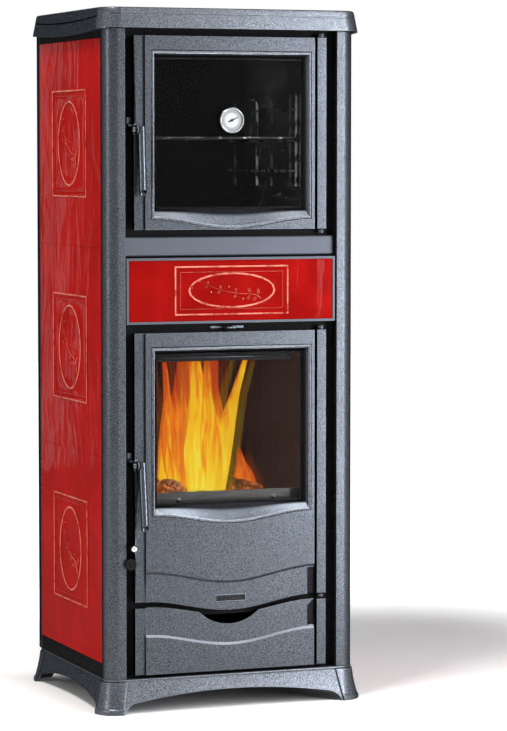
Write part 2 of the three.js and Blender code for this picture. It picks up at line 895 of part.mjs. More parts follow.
// ---- top plate ----
function topPlate() {
  const halfX = halfWidth + topOverhang;
  const halfY = rearY + topOverhang;
  const rise = (share) => bodyTop - topSag + share * (topPlateHeight + topSag);
  const loopAt = (height, inset) => {
    const radius = topCornerRadius - inset * 0.3;
    return cornerLoop(halfX - inset, halfY - inset, radius, height, 7);
  };
  const body = skin([
    loopAt(rise(0), 0),
    loopAt(rise(0.12), 0),
    loopAt(stoveTop - 4, topTaper),
    loopAt(stoveTop - 1.2, topTaper + 1),
    loopAt(stoveTop, topTaper + 3.2),
  ], false);
  const sagShape = (drop, height) => {
    const shape = new THREE.Shape();
    shape.moveTo(-halfY - overcut, drop);
    shape.quadraticCurveTo(0, drop - 2 * topSag, halfY + overcut, drop);
    shape.lineTo(halfY + overcut, drop - height);
    shape.quadraticCurveTo(0, drop - height - 2 * topSag, -halfY - overcut, drop - height);
    shape.closePath();
    return shape;
  };
  const under = pullX(sagShape(bodyTop, 4 * topSag), -halfX - overcut, halfX + overcut, 14);
  const seat = block(-halfWidth - gap, halfWidth + gap, -halfY - overcut, halfY + overcut, 0, bodyTop);
  const pocket = pull(roundedRectangle(
    -halfWidth + topSeatWidth,
    halfWidth - topSeatWidth,
    frontY + topSeatWidth,
    rearY - topSeatWidth,
    topCornerRadius / 2,
  ), bodyTop - topSag - overcut, stoveTop - topThickness);
  const grooveLevel = stoveTop - topGrooveDrop;
  const outside = skin([
    loopAt(grooveLevel - 3 * topSag, -overcut),
    loopAt(stoveTop, -overcut),
  ], false);
  const core = skin([
    loopAt(grooveLevel - 3 * topSag, topTaper * topGrooveShare + topGrooveDepth),
    loopAt(stoveTop + overcut, topTaper * topGrooveShare + topGrooveDepth),
  ], false);
  const ring = cut(outside, core);
  const frontGroove = block(
    -halfX + frontGrooveInset,
    halfX - frontGrooveInset,
    -halfY - overcut,
    -halfY + frontGrooveInset,
    grooveLevel,
    grooveLevel + topGrooveHeight,
  );
  const sideLength = halfY - topCornerRadius;
  const pastX = halfX + overcut;
  const sideGroove = pullX(sagShape(grooveLevel + topGrooveHeight, topGrooveHeight), -pastX, pastX, 14)
    .intersect(block(-pastX, pastX, -sideLength, sideLength, 0, stoveTop));
  const grooves = ring.intersect(join(frontGroove, sideGroove));
  const coverHole = rod([0, 0, bodyTop], [0, 0, stoveTop + overcut], coverRadius - coverLedge, 36);
  const coverSeat = rod([0, 0, stoveTop - coverThickness], [0, 0, stoveTop + overcut], coverRadius + gap, 36);
  return cut(body, under, seat, pocket, grooves, coverHole, coverSeat);
}

place(stove, 'top_plate', topPlate(), castGrey());

function flueCover() {
  const bottom = stoveTop - coverThickness + gap;
  const thickness = coverThickness - gap;
  const disc = turned([
    [0, 0],
    [coverRadius, 0],
    [coverRadius, thickness - coverEdge],
    [coverRadius - coverEdge, thickness],
    [0, thickness],
  ], 36);
  const slotEnd = coverSlot / 2;
  const slot = block(-slotEnd, slotEnd, -coverSlot / 9, coverSlot / 9, coverThickness / 2, stoveTop);
  return cut(disc, slot).translate([0, 0, bottom]);
}

place(stove, 'flue_cover', flueCover(), castGrey());

// ---- front plate and what it carries ----
const keeperX = -doorHalf - camClearance - camThickness / 2;
const mouthOf = (door) => ({ low: door.bottom + mouthInset, high: door.top - mouthInset });
const ovenMouth = mouthOf(ovenDoor);
const fireMouth = mouthOf(fireDoor);

function frontPlate() {
  const outline = rectangle(-plateHalf, plateHalf, baseHeight + gap, bodyTop - gap);
  const plate = pull(outline, -frontPlateThickness, 0);
  const through = (shape, segments = 4) => pull(shape, -frontPlateThickness - overcut, overcut, segments);
  const mouthLow = drawerBottom + drawerMouthRise;
  const slot = leverWidth / 2 + leverTravel + 2 * leverRoom;
  const slotHalf = leverThickness / 2 + leverRoom / 2;
  const leverLevel = tileFrameBottom - leverDrop;
  return cut(
    plate,
    through(roundedRectangle(-mouthHalf, mouthHalf, ovenMouth.low, ovenMouth.high, mouthCorner)),
    through(roundedRectangle(-mouthHalf, mouthHalf, fireMouth.low, fireMouth.high, mouthCorner)),
    through(rectangle(-drawerMouthHalf, drawerMouthHalf, mouthLow, mouthLow + drawerMouthHeight)),
    through(rectangle(-slot, slot, leverLevel - slotHalf, leverLevel + slotHalf)),
    through(circle(shakerX, shakerHeight, shakerRodRadius + pinGap)),
    through(circle(dialX, dialHeight, dialSpindleRadius + pinGap)),
  );
}

place(front, 'front_plate', frontPlate(), sheetBlack());

function crossbar() {
  const back = gap;
  const face = postOut - crossbarSetback;
  // section drawn in (up, out), pulled across
  const section = polygon([
    [crossbarBottom, back],
    [crossbarTop, back],
    [crossbarTop, face - crossbarBevel],
    [crossbarTop - crossbarBevel, face],
    [crossbarBottom + crossbarBevel, face],
    [crossbarBottom, face - crossbarBevel],
  ]);
  return pullX(section, -frontPieceHalf, frontPieceHalf);
}

place(front, 'crossbar', crossbar(), barGrey());

const tileFrameOut = postOut - tileFrameSetback;

function tileFrame() {
  const half = frontPieceHalf;
  const outer = rectangle(-half, half, tileFrameBottom, tileFrameTop);
  const lip = tileFrameLip;
  const wall = tileFrameSheet;
  const tray = rectangle(-half + wall, half - wall, tileFrameBottom + wall, tileFrameTop - wall);
  const window = rectangle(-half + lip, half - lip, tileFrameBottom + lip, tileFrameTop - lip);
  const box = cut(pull(outer, gap, tileFrameOut), pull(tray, gap + sheet, tileFrameOut - wall));
  return cut(box, pull(window, tileFrameOut - tileFrameReturn, tileFrameOut + overcut));
}

place(front, 'front_tile_frame', tileFrame(), barGrey());

const frontTileWidth = 2 * (frontPieceHalf - tileFrameSheet - gap);
const frontTileHeight = tileFrameHeight - 2 * (tileFrameSheet + gap);
const frontTile = place(front, 'front_tile', tile(
  frontTileWidth,
  frontTileHeight,
  frontReliefWidth,
  frontReliefHeight,
  frontOvalWidth,
  frontOvalHeight,
), redGlaze());
frontTile.position.set(0, (tileFrameBottom + tileFrameTop) / 2, tileFrameOut - tileFrameSheet - gap);

// ---- doors ----
const waveAt = (across, ends, dip) => {
  const phase = (across - (panelLeft + panelRight) / 2) / (panelRight - panelLeft);
  return ends - (dip * (1 + Math.cos(2 * Math.PI * phase))) / 2;
};

const wavePoints = (ends, dip) => Array.from({ length: waveSteps + 1 }, (_, step) => {
  const across = panelLeft + ((panelRight - panelLeft) * step) / waveSteps;
  return [across, waveAt(across, ends, dip)];
});

// The line round a window: straight over the glass, a smile under it that fades into the straight sill
function windowLoop(door, reach, fade) {
  const half = windowHalf + reach;
  const top = door.windowTop + reach;
  const drop = lipDrop + reach - funnelReach;
  const points = [[half, top], [-half, top]];
  for (let step = 0; step <= waveSteps; step += 1) {
    const across = -half + (2 * half * step) / waveSteps;
    const smile = drop + (lipDip * (1 + Math.cos((Math.PI * across) / half))) / 2;
    points.push([across, door.sill - smile * (1 - fade)]);
  }
  return points;
}

function doorCasting(door) {
  const edge = [
    [-doorHalf, door.bottom],
    [panelLeft, door.bottom],
    ...(door.waveDip ? wavePoints(door.bottom, door.waveDip) : []),
    [panelRight, door.bottom],
    [doorHalf, door.bottom],
    [doorHalf, door.top],
    [-doorHalf, door.top],
  ];
  const slab = pull(polygon(dropRepeats(edge)), doorBack, stripOut);
  const panelEnds = door.waveDip ? door.bottom + doorBandHeight : door.bottom;
  const panelTop = [[panelRight, door.top], [panelLeft, door.top]];
  const panel = door.waveDip
    ? slopedPanel(wavePoints(panelEnds, doorBandDip), panelTop, ledgeSlope)
    : pull(rectangle(panelLeft, panelRight, panelEnds, door.top), doorBack + bite, panelOut);
  const pieces = [slab, panel];
  const tools = [];
  if (door.waveDip) {
    const wave = wavePoints(door.bottom, door.waveDip);
    const band = [...wave, [panelRight, panelEnds + bite], [panelLeft, panelEnds + bite]];
    pieces.push(pull(polygon(band), doorBack + bite, bandOut));
    tools.push(pocket(door.bottom - overcut, panelEnds - bite));
  }
  const groove = pull(
    rectangle(panelRight, panelRight + hingeGrooveWidth, door.bottom - 2 * overcut, door.top + overcut),
    doorBack + hingeGrooveFloor,
    panelOut + overcut,
  );
  tools.push(groove, ...windowCuts(door), ...pinHoles(door));
  return join(cut(join(...pieces), ...tools), moulding(door), handleCheek(door));
}

// A raised panel; its waved edge leans back from the band to the panel's face
function slopedPanel(waved, straight, lean) {
  const at = (shift, out) => [
    ...waved.map(([across, up]) => [across, up + shift, out]),
    ...straight.map(([across, up]) => [across, up, out]),
  ];
  return skin([at(0, doorBack + bite), at(0, bandOut - bite / 2), at(lean, panelOut)], false);
}

function dropRepeats(points) {
  return points.filter(([across, up], place) => {
    const [lastAcross, lastUp] = points[(place + points.length - 1) % points.length];
    return Math.hypot(across - lastAcross, up - lastUp) > 1e-6;
  });
}

function pocket(low, high) {
  const outline = rectangle(panelRight - pocketWidth, panelRight, low, high);
  return pull(outline, stripOut - pocketDepth, panelOut + overcut);
}

function windowCuts(door) {
  const at = (reach, fade, out) => windowLoop(door, reach, fade).map(([across, up]) => [across, up, out]);
  const slope = panelOut - glassFront - glassSeat;
  const funnel = skin([
    at(0, 1, doorBack - overcut),
    at(0, 1, glassFront + glassSeat),
    at(funnelReach * 0.45, 0.62, glassFront + glassSeat + slope * 0.38),
    at(funnelReach * 0.62, 0.52, glassFront + glassSeat + slope * 0.48),
    at(funnelReach, 0, panelOut),
    at(funnelReach, 0, panelOut + overcut),
  ], false);
  const glassBed = pull(rectangle(
    -windowHalf - glassOverlap - gap,
    windowHalf + glassOverlap + gap,
    door.sill - glassOverlap - gap,
    door.windowTop + glassOverlap + gap,
  ), doorBack - overcut, glassFront + gap);
  const inner = funnelReach + mouldingWidth;
  const outer = inner + mouldingGroove;
  const trench = skin([
    at(outer, 0, panelOut + overcut),
    at(inner, 0, panelOut + overcut),
    at(inner, 0, panelOut - mouldingGrooveDepth),
    at(outer, 0, panelOut - mouldingGrooveDepth),
  ], true);
  return [funnel, glassBed, trench];
}

function moulding(door) {
  const at = (reach, out) => windowLoop(door, reach, 0).map(([across, up]) => [across, up, out]);
  const width = mouldingWidth;
  return skin([
    at(funnelReach + width * 0.9, panelOut - bite),
    at(funnelReach + width * 0.1, panelOut - bite),
    at(funnelReach + width * 0.1, panelOut + mouldingHeight * 0.4),
    at(funnelReach + width * 0.35, panelOut + mouldingHeight),
    at(funnelReach + width * 0.65, panelOut + mouldingHeight),
    at(funnelReach + width * 0.9, panelOut + mouldingHeight * 0.4),
  ], true);
}

function pinHoles(door) {
  const radius = pinRadius + pinGap;
  const depth = pinReach + 2;
  return [
    rod([hingeX, door.top - depth, hingeOut], [hingeX, door.top + overcut, hingeOut], radius, 16),
    rod([hingeX, door.bottom - overcut, hingeOut], [hingeX, door.bottom + depth, hingeOut], radius, 16),
  ];
}

// A cheek on the handle strip; the handle's spindle turns in its hole
function handleCheek(door) {
  const level = door.handleTop - handlePivotDrop;
  const left = -doorHalf + cheekInset;
  // drawn in (up, out), pulled across
  const shape = new THREE.Shape();
  shape.moveTo(level - cheekRadius, stripOut - bite);
  shape.lineTo(level + cheekRadius, stripOut - bite);
  shape.lineTo(level + cheekRadius, handlePivotOut);
  shape.absarc(level, handlePivotOut, cheekRadius, 0, Math.PI);
  shape.closePath();
  const hole = rod(
    [left - overcut, level, handlePivotOut],
    [left + cheekThickness + overcut, level, handlePivotOut],
    spindleRadius + pinGap,
    16,
  );
  return cut(pullX(shape, left, left + cheekThickness, 6), hole);
}

function hingeLug(level, up) {
  // a lug on the front plate with a pin that points into the door; up is 1 for the lug under a door
  const low = up > 0 ? level - lugGap - lugThickness : level + lugGap;
  const shape = new THREE.Shape();
  const half = lugWidth / 2;
  shape.moveTo(hingeX - half, gap);
  shape.lineTo(hingeX + half, gap);
  shape.lineTo(hingeX + half, hingeOut);
  shape.absarc(hingeX, hingeOut, half, 0, Math.PI);
  shape.closePath();
  const body = pullFront(shape, low, low + lugThickness);
  const from = up > 0 ? low + bite : level - pinReach;
  const to = up > 0 ? level + pinReach : low + lugThickness - bite;
  return join(body, rod([hingeX, from, hingeOut], [hingeX, to, hingeOut], pinRadius, 16));
}

// In the front's axes: a shape drawn in (across, out), pulled upwards
function pullFront(shape, from, to, segments = 6) {
  const geometry = new THREE.ExtrudeGeometry(shape, {
    depth: to - from,
    bevelEnabled: false,
    curveSegments: segments,
  });
  geometry.applyMatrix4(new THREE.Matrix4().makeBasis(
    new THREE.Vector3(1, 0, 0),
    new THREE.Vector3(0, 0, 1),
    new THREE.Vector3(0, -1, 0),
  ));
  geometry.translate(0, to, 0);
  return solidOf(geometry);
}

function glassPane(door) {
  return pull(rectangle(
    -windowHalf - glassOverlap,
    windowHalf + glassOverlap,
    door.sill - glassOverlap,
    door.windowTop + glassOverlap,
  ), doorBack, glassFront);
}

function ringPlate(left, right, low, high, width, from, to) {
  const shape = rectangle(left, right, low, high);
  shape.holes.push(rectangle(left + width, right - width, low + width, high - width));
  return pull(shape, from, to);
}

function glassRetainer(door) {
  const reach = retainerReach;
  const back = doorBack - gap - retainerThickness;
  return ringPlate(
    -windowHalf - reach,
    windowHalf + reach,
    door.sill - reach,
    door.windowTop + reach,
    reach + retainerLip,
    back,
    doorBack - gap,
  );
}

function doorSeal(door) {
  const side = mouthHalf + sealWidth / 2;
  return ringPlate(
    -side - sealWidth / 2,
    side + sealWidth / 2,
    door.bottom + sealInset - sealWidth / 2,
    door.top - sealInset + sealWidth / 2,
    sealWidth,
    gap,
    gap + sealThickness,
  );
}

function handle(door, tilt) {
  const level = door.handleTop - handlePivotDrop;
  const below = handleLength - handlePivotDrop;
  const lean = THREE.MathUtils.degToRad(tilt);
  const at = (drop) => [handleX, level - drop * Math.cos(lean), handlePivotOut + drop * Math.sin(lean)];
  const tube = cut(
    rod(at(-handlePivotDrop), at(below + handleRadius), handleRadius, 20),
    rod(at(handlePlug), at(below + handleRadius + overcut), handleRadius - handleWall, 20),
  );
  // the slanted cut opens the lower end to the front
  const slant = THREE.MathUtils.degToRad(handleCut) + lean;
  const [, endUp, endOut] = at(below - handleRadius * 0.6);
  const wide = handleRadius * 5;
  const blade = block(-wide, wide, -wide, 0, -wide, wide)
    .rotate([-THREE.MathUtils.radToDeg(slant), 0, 0])
    .translate([handleX, endUp, endOut]);
  const camLeft = -doorHalf - camClearance - camThickness;
  const spindle = rod(
    [camLeft + bite, level, handlePivotOut],
    [handleX, level, handlePivotOut],
    spindleRadius,
    16,
  );
  // drawn in (up, out), pulled across
  const arm = polygon([
    [level - camHeight / 2, handlePivotOut],
    [level - camHeight / 2, camOut + camLead],
    [level - camHeight / 2 + camLead, camOut],
    [level + camHeight / 2, camOut],
    [level + camHeight / 2, handlePivotOut],
  ]);
  const cam = join(
    pullX(arm, camLeft, camLeft + camThickness),
    rod([camLeft, level, handlePivotOut], [camLeft + camThickness, level, handlePivotOut], camBossRadius, 20),
  );
  return join(cut(tube, blade), spindle, cam);
}

function latchKeeper(door) {
  const level = door.handleTop - handlePivotDrop + camHeight / 2 + keeperGap;
  const half = keeperWidth / 2;
  const upTo = (top) => rectangle(keeperX - half, keeperX + half, level, top);
  const foot = pull(upTo(level + keeperFoot), gap, gap + keeperThickness);
  const tongue = pull(upTo(level + keeperThickness), gap, keeperReach);
  return join(foot, tongue);
}

const doors = [['oven', ovenDoor, ovenHandleTilt], ['firebox', fireDoor, fireHandleTilt]];
for (const [word, door, tilt] of doors) {
  place(front, `${word}_door_frame`, doorCasting(door), castGrey());
  place(front, `${word}_door_glass`, glassPane(door), glassDark());
  place(front, `${word}_glass_retainer`, glassRetainer(door), sheetBlack());
  place(front, `${word}_door_seal`, doorSeal(door), ropeGrey());
  place(front, `${word}_handle`, handle(door, tilt), bareSteel());
  place(front, `${word}_latch_keeper`, latchKeeper(door), bareSteel());
  place(front, `${word}_hinge_lug_upper`, hingeLug(door.top, -1), castGrey());
  place(front, `${word}_hinge_lug_lower`, hingeLug(door.bottom, 1), castGrey());
}

// ---- thermometer ----
const thermometerUp = ovenDoor.sill + thermometerHeight;

function thermometerCase() {
  const radius = thermometerRadius;
  const depth = thermometerDepth;
  return turned([
    [0, 0],
    [radius * 0.72, 0],
    [radius * 0.72, 2.5],
    [radius, 4],
    [radius, depth - 1.5],
    [radius - 1, depth],
    [radius - bezelWidth, depth],
    [radius - bezelWidth - 0.6, depth - dialRecess],
    [0, depth - dialRecess],
  ], 32);
}

function thermometerNeedle() {
  const hub = rod([0, 0, 0], [0, 0, needleThickness * 1.5], needleWidth, 16);
  const blade = pull(polygon([
    [-needleLength * 0.45, -needleWidth * 0.4],
    [0, -needleWidth * 0.5],
    [needleLength, -0.3],
    [needleLength, 0.3],
    [0, needleWidth * 0.5],
    [-needleLength * 0.45, needleWidth * 0.4],
  ]), 0, needleThickness);
  return join(hub, blade);
}

const caseBack = glassFront + gap;
place(front, 'thermometer_case', thermometerCase(), chrome()).position.set(0, thermometerUp, caseBack);
const needle = place(front, 'thermometer_needle', thermometerNeedle(), sheetBlack());
needle.position.set(0, thermometerUp, caseBack + thermometerDepth - dialRecess + gap);
needle.rotation.z = THREE.MathUtils.degToRad(needleAngle);

// ---- controls beside and over the firebox door ----
function shakerRod() {
  const ball = new THREE.SphereGeometry(shakerBallRadius, 16, 12);
  ball.translate(shakerX, shakerHeight, shakerOut);
  const neck = rod(
    [shakerX, shakerHeight, shakerOut - shakerBallRadius - shakerNeck],
    [shakerX, shakerHeight, shakerOut],
    shakerRodRadius + 1,
    12,
  );
  const shank = rod(
    [shakerX, shakerHeight, -linkBack + gap],
    [shakerX, shakerHeight, shakerOut],
    shakerRodRadius,
    12,
  );
  return join(solidOf(ball), neck, shank);
}

function airDial() {
  const disc = turned([
    [0, 0],
    [dialRadius - 1, 0],
    [dialRadius, 1],
    [dialRadius, dialThickness - 1.5],
    [dialRadius - 1.5, dialThickness],
    [dialRadius * 0.55, dialThickness],
    [dialRadius * 0.5, dialThickness - 1],
    [dialRadius * 0.3, dialThickness - 1],
    [dialRadius * 0.25, dialThickness + 0.6],
    [0, dialThickness + 0.6],
  ], 24);
  const spindle = rod([0, 0, -dialOut - 12], [0, 0, 1], dialSpindleRadius, 12);
  const flap = rod([0, 0, -dialOut - 12], [0, 0, -dialOut - 9], dialRadius * 1.1, 20);
  return join(disc, spindle, flap);
}

function airLever() {
  const level = tileFrameBottom - leverDrop;
  const behind = -frontPlateThickness - gap;
  const half = leverWidth / 2;
  const thick = leverThickness / 2;
  const tab = pullFront(roundedTab(half, behind - sheet, leverOut), level - thick, level + thick);
  const slide = pull(
    rectangle(-slideLength / 2, slideLength / 2, level - slideHeight / 2, level + slideHeight / 2),
    behind - sheet,
    behind,
  );
  return join(tab, slide);
}

function roundedTab(half, from, to) {
  const shape = new THREE.Shape();
  shape.moveTo(-half, from);
  shape.lineTo(half, from);
  shape.lineTo(half, to - leverCorner);
  shape.absarc(half - leverCorner, to - leverCorner, leverCorner, 0, Math.PI / 2);
  shape.absarc(-half + leverCorner, to - leverCorner, leverCorner, Math.PI / 2, Math.PI);
  shape.closePath();
  return shape;
}

place(front, 'grate_shaker_rod', shakerRod(), chrome());
place(front, 'primary_air_dial', airDial(), sheetBlack()).position.set(dialX, dialHeight, dialOut);
place(front, 'secondary_air_lever', airLever(), bareSteel());

// ---- ash drawer ----
function drawerFront() {
  const crest = drawerTop + drawerCrest;
  const wave = wavePoints(crest, drawerWaveDip).reverse();
  const outline = polygon(dropRepeats([
    [-doorHalf, drawerBottom],
    [doorHalf, drawerBottom],
    [doorHalf, drawerTop],
    [panelRight, drawerTop],
    ...wave,
    [panelLeft, drawerTop],
    [-doorHalf, drawerTop],
  ]));
  const slab = pull(outline, doorBack, stripOut);
  const low = [[panelLeft, drawerBottom], [panelRight, drawerBottom]];
  const band = pull(polygon([...low, ...wave]), doorBack + bite, bandOut);
  const panelEnds = drawerBottom + drawerPanelHeight;
  const panelTop = wavePoints(panelEnds, drawerPanelDip).reverse();
  const panel = slopedPanel(panelTop, low, -ledgeSlope);
  const groove = pull(
    rectangle(panelRight, panelRight + hingeGrooveWidth, drawerBottom - overcut, crest + overcut),
    doorBack + hingeGrooveFloor,
    panelOut + overcut,
  );
  const pocketShape = polygon([
    [panelRight - pocketWidth, panelEnds + bite],
    [panelRight + bite, panelEnds + bite],
    [panelRight + bite, crest + bite],
    [panelRight, crest],
    [panelRight - pocketWidth, crest - pocketWidth],
  ]);
  const pocketCut = pull(pocketShape, stripOut - pocketDepth, panelOut + overcut);
  const notchRadius = (notchHalfWidth ** 2 + notchDepth ** 2) / (2 * notchDepth);
  const notchCentre = drawerTop - notchFloorDrop + notchRadius;
  const notchShape = circle(notchOffset, notchCentre, notchRadius);
  const notch = pull(notchShape, doorBack - overcut, panelOut + overcut, 40);
  return cut(join(slab, band, panel), groove, pocketCut, notch);
}

function ashPan() {
  const half = panHalf;
  const face = doorBack - gap;
  const back = face - panDepth;
  const top = panBottom + panHeight;
  const outer = pull(rectangle(-half, half, panBottom, top), back, face);
  const inside = rectangle(-half + panWall, half - panWall, panBottom + panWall, top + overcut);
  const inner = pull(inside, back + panWall, face - panWall);
  return cut(outer, inner);
}

place(front, 'ash_drawer_front', drawerFront(), castGrey());
place(front, 'ash_pan', ashPan(), sheetBlack());

// ---- firebox ----
const shellBack = insideY + shellDepth; // outside of the shell's rear wall
const hearthY = [insideY + gap, shellBack - sheet - gap];
const grateY = insideY + (shellBack - insideY) / 2 - grateDepth / 2; // front edge of the grate at rest
const hearthTop = hearthHeight + hearthThickness;
const grateBottom = hearthHeight + hearthThickness - grateThickness;
const linkY = frontPlateY + linkBack;

function fireboxShell() {
  const inner = shellHalf - sheet;
  const walls = polygon([
    [-shellHalf, insideY],
    [-inner, insideY],
    [-inner, shellBack - sheet],
    [inner, shellBack - sheet],
    [inner, insideY],
    [shellHalf, insideY],
    [shellHalf, shellBack],
    [-shellHalf, shellBack],
  ]);
  const low = floorTop + gap;
  const ledgeLow = hearthHeight - gap - sheet * 2;
  const ledgeShape = polygon([
    [-inner - bite, insideY],
    [-inner + shellLedge, insideY],
    [-inner + shellLedge, shellBack - sheet - shellLedge],
    [inner - shellLedge, shellBack - sheet - shellLedge],
    [inner - shellLedge, insideY],
    [inner + bite, insideY],
    [inner + bite, shellBack - sheet + bite],
    [-inner - bite, shellBack - sheet + bite],
  ]);
  const linkSlot = block(
    -shellHalf - overcut,
    -inner + shellLedge + overcut,
    linkY - shakerTravel - linkRoom,
    linkY + linkWidth + linkRoom,
    hearthHeight - linkDrop - linkThickness - linkRoom,
    hearthHeight - gap,
  );
  return cut(join(pull(walls, low, shellTop), pull(ledgeShape, ledgeLow, hearthHeight - gap)), linkSlot);
}

function hearthPlate() {
  const half = shellHalf - sheet - gap;
  const plate = block(-half, half, ...hearthY, hearthHeight, hearthTop);
  const room = grateRoom;
  const well = block(
    -grateWidth / 2 - room,
    grateWidth / 2 + room,
    grateY - shakerTravel - room,
    grateY + grateDepth + room,
    grateBottom - gap,
    hearthTop + overcut,
  );
  const drop = block(
    -grateWidth / 2 + grateLedge,
    grateWidth / 2 - grateLedge,
    grateY - shakerTravel + grateLedge,
    grateY + grateDepth - grateLedge,
    hearthHeight - overcut,
    hearthTop,
  );
  return cut(plate, well, drop);
}

function fireGrate() {
  const half = grateWidth / 2;
  const plate = pull(
    roundedRectangle(-half, half, grateY, grateY + grateDepth, grateCorner),
    grateBottom,
    hearthTop,
    3,
  );
  const pitch = (grateWidth - 2 * grateRim - grateSlotWidth) / (grateBars - 1);
  const slots = Array.from({ length: grateBars }, (_, bar) => {
    const middle = -half + grateRim + grateSlotWidth / 2 + bar * pitch;
    const radius = grateSlotWidth / 2;
    return pull(roundedRectangle(
      middle - radius,
      middle + radius,
      grateY + grateRim,
      grateY + grateDepth - grateRim,
      radius - 0.01,
    ), grateBottom - overcut, hearthTop + overcut, 2);
  });
  // the link runs under the hearth to the rod outside the shell
  const linkTop = hearthHeight - linkDrop;
  const stemX = -half + grateLedge + linkGrip;
  const stemEnd = stemX + linkStem;
  const overlap = linkThickness / 4;
  const stem = block(stemX, stemEnd, linkY, linkY + linkWidth, linkTop - overlap, grateBottom + overlap);
  const armEnd = shakerX - shakerRodRadius - linkGrip;
  const arm = block(armEnd, stemEnd, linkY, linkY + linkWidth, linkTop - linkThickness, linkTop);
  const rodTop = shakerHeight + shakerRodRadius + linkGrip;
  const post = block(armEnd, armEnd + linkPost, linkY, linkY + linkWidth, linkTop - overlap, rodTop);
  return join(cut(plate, ...slots), stem, arm, post);
}

// A ribbed slab: its section is drawn across the wall and pulled upwards
function ribbedSlab(length, thickness) {
  const count = Math.floor((length - ribLand) / ribPitch);
  const start = (length - count * ribPitch) / 2;
  const points = [[0, 0], [0, thickness - ribDepth]];
  for (let rib = 0; rib < count; rib += 1) {
    const from = start + rib * ribPitch;
    const slope = (ribPitch - ribLand) / 4;
    points.push(
      [from + slope, thickness - ribDepth],
      [from + 2 * slope, thickness],
      [from + 2 * slope + ribLand, thickness],
      [from + 3 * slope + ribLand, thickness - ribDepth],
    );
  }
  points.push([length, thickness - ribDepth], [length, 0]);
  return polygon(points.reverse());
}

function lining(length) {
  const low = hearthTop + gap;
  const jointLow = low + liningJointRise;
  const joint = block(
    -overcut,
    length + overcut,
    liningThickness - ribDepth / 2,
    liningThickness + overcut,
    jointLow,
    jointLow + liningJoint,
  );
  return cut(pull(ribbedSlab(length, liningThickness), low, liningTop), joint);
}

const liningOuter = shellHalf - sheet - gap;
const sideLiningLength = hearthY[1] - hearthY[0];
place(stove, 'firebox_shell', fireboxShell(), sheetBlack());
place(stove, 'hearth_plate', hearthPlate(), castBrown());
place(stove, 'fire_grate', fireGrate(), castBrown());
const backLiningLength = 2 * (liningOuter - liningThickness - gap);
const backLining = place(stove, 'firebox_lining_back', lining(backLiningLength), castBrown());
backLining.rotation.z = Math.PI;
backLining.position.set(backLiningLength / 2, hearthY[1], 0);
const leftLining = place(stove, 'firebox_lining_left', lining(sideLiningLength), castBrown());
leftLining.rotation.z = -Math.PI / 2;
leftLining.position.set(-liningOuter, hearthY[1], 0);
const rightLining = place(stove, 'firebox_lining_right', lining(sideLiningLength), castBrown());
rightLining.rotation.z = Math.PI / 2;
rightLining.position.set(liningOuter, hearthY[0], 0);

function logGuard() {
  const half = liningOuter - liningThickness - gap;
  const near = insideY + guardBack;
  const low = fireDoor.sill - guardDrop;
  const bar = block(-half, half, near, near + guardThickness, low, low + guardHeight);
  const foot = block(-half, half, near, near + guardThickness * 4, low, low + guardThickness);
  return join(bar, foot);
}

place(stove, 'log_guard', logGuard(), bareSteel());

function baffle() {
  const low = liningTop + gap;
  return block(-liningOuter, liningOuter, insideY + baffleFrontGap, hearthY[1], low, low + baffleThickness);
}

place(stove, 'baffle_plate', baffle(), castBrown());

// ---- oven ----
const ovenInsideHalf = mouthHalf + ovenSetOut;
const ovenLow = ovenMouth.low - ovenSetOut;
const ovenHigh = ovenMouth.high + ovenSetOut;
const ovenFace = -frontPlateThickness - gap;

function ovenBox() {
  const box = (grow, from, to) => pull(roundedRectangle(
    -ovenInsideHalf - grow,
    ovenInsideHalf + grow,
    ovenLow - grow,
    ovenHigh + grow,
    ovenCorner + grow,
  ), from, to, 3);
  const outer = box(ovenWall, ovenFace - ovenDepth, ovenFace);
  const flange = box(ovenFlange, ovenFace - ovenWall, ovenFace);
  return cut(join(outer, flange), box(0, ovenFace - ovenDepth + ovenWall, ovenFace + overcut));
}

place(front, 'oven_box', ovenBox(), sheetBlack());

const rackX = ovenInsideHalf - gap - rackWire; // axis of the rack's uprights and guides
const guideLevel = (level) => rackBottom + (rackHeight * (level + 0.5)) / rackLevels;

function ovenRack(side) {
  const x = side * rackX;
  const near = -rackFront;
  const far = -rackFront - rackDepth;
  const rods = [
    rod([x, rackBottom, near], [x, rackBottom + rackHeight, near], rackWire, 8),
    rod([x, rackBottom, far], [x, rackBottom + rackHeight, far], rackWire, 8),
  ];
  for (let level = 0; level < rackLevels; level += 1) {
    const inner = x - side * rackInset;
    for (const out of [near, far]) {
      rods.push(rod([x, guideLevel(level), out], [inner, guideLevel(level), out], rackWire * 0.8, 8));
    }
    const guideEnds = [near + guideOver, far - guideOver].map((out) => [inner, guideLevel(level), out]);
    rods.push(rod(...guideEnds, rackWire * 0.8, 8));
  }
  return join(...rods);
}

function ovenShelf() {
  const level = guideLevel(1) + rackWire * 0.8 + gap + shelfWire;
  const half = rackX - rackWire - shelfWire - 2 * gap;
  const near = -shelfFront;
  const far = -shelfFront - shelfDepth;
  const middle = (near + far) / 2;
  const braceHalf = rackX - rackInset - rackWire - 1; // the brace underneath ends between the guides
  const braceLevel = level - shelfRise;
  const rods = [
    rod([-half, level, near], [half, level, near], shelfWire, 8),
    rod([-half, level, far], [half, level, far], shelfWire, 8),
    rod([-half, level, near], [-half, level, far], shelfWire, 8),
    rod([half, level, near], [half, level, far], shelfWire, 8),
    rod([-braceHalf, braceLevel, middle], [braceHalf, braceLevel, middle], shelfWire, 8),
  ];
  for (let bar = 0; bar < shelfBars; bar += 1) {
    const x = -half + ((bar + 1) * 2 * half) / (shelfBars + 1);
    rods.push(rod([x, level, near], [x, level, far], shelfWire * 0.8, 6));
  }
  return join(...rods);
}

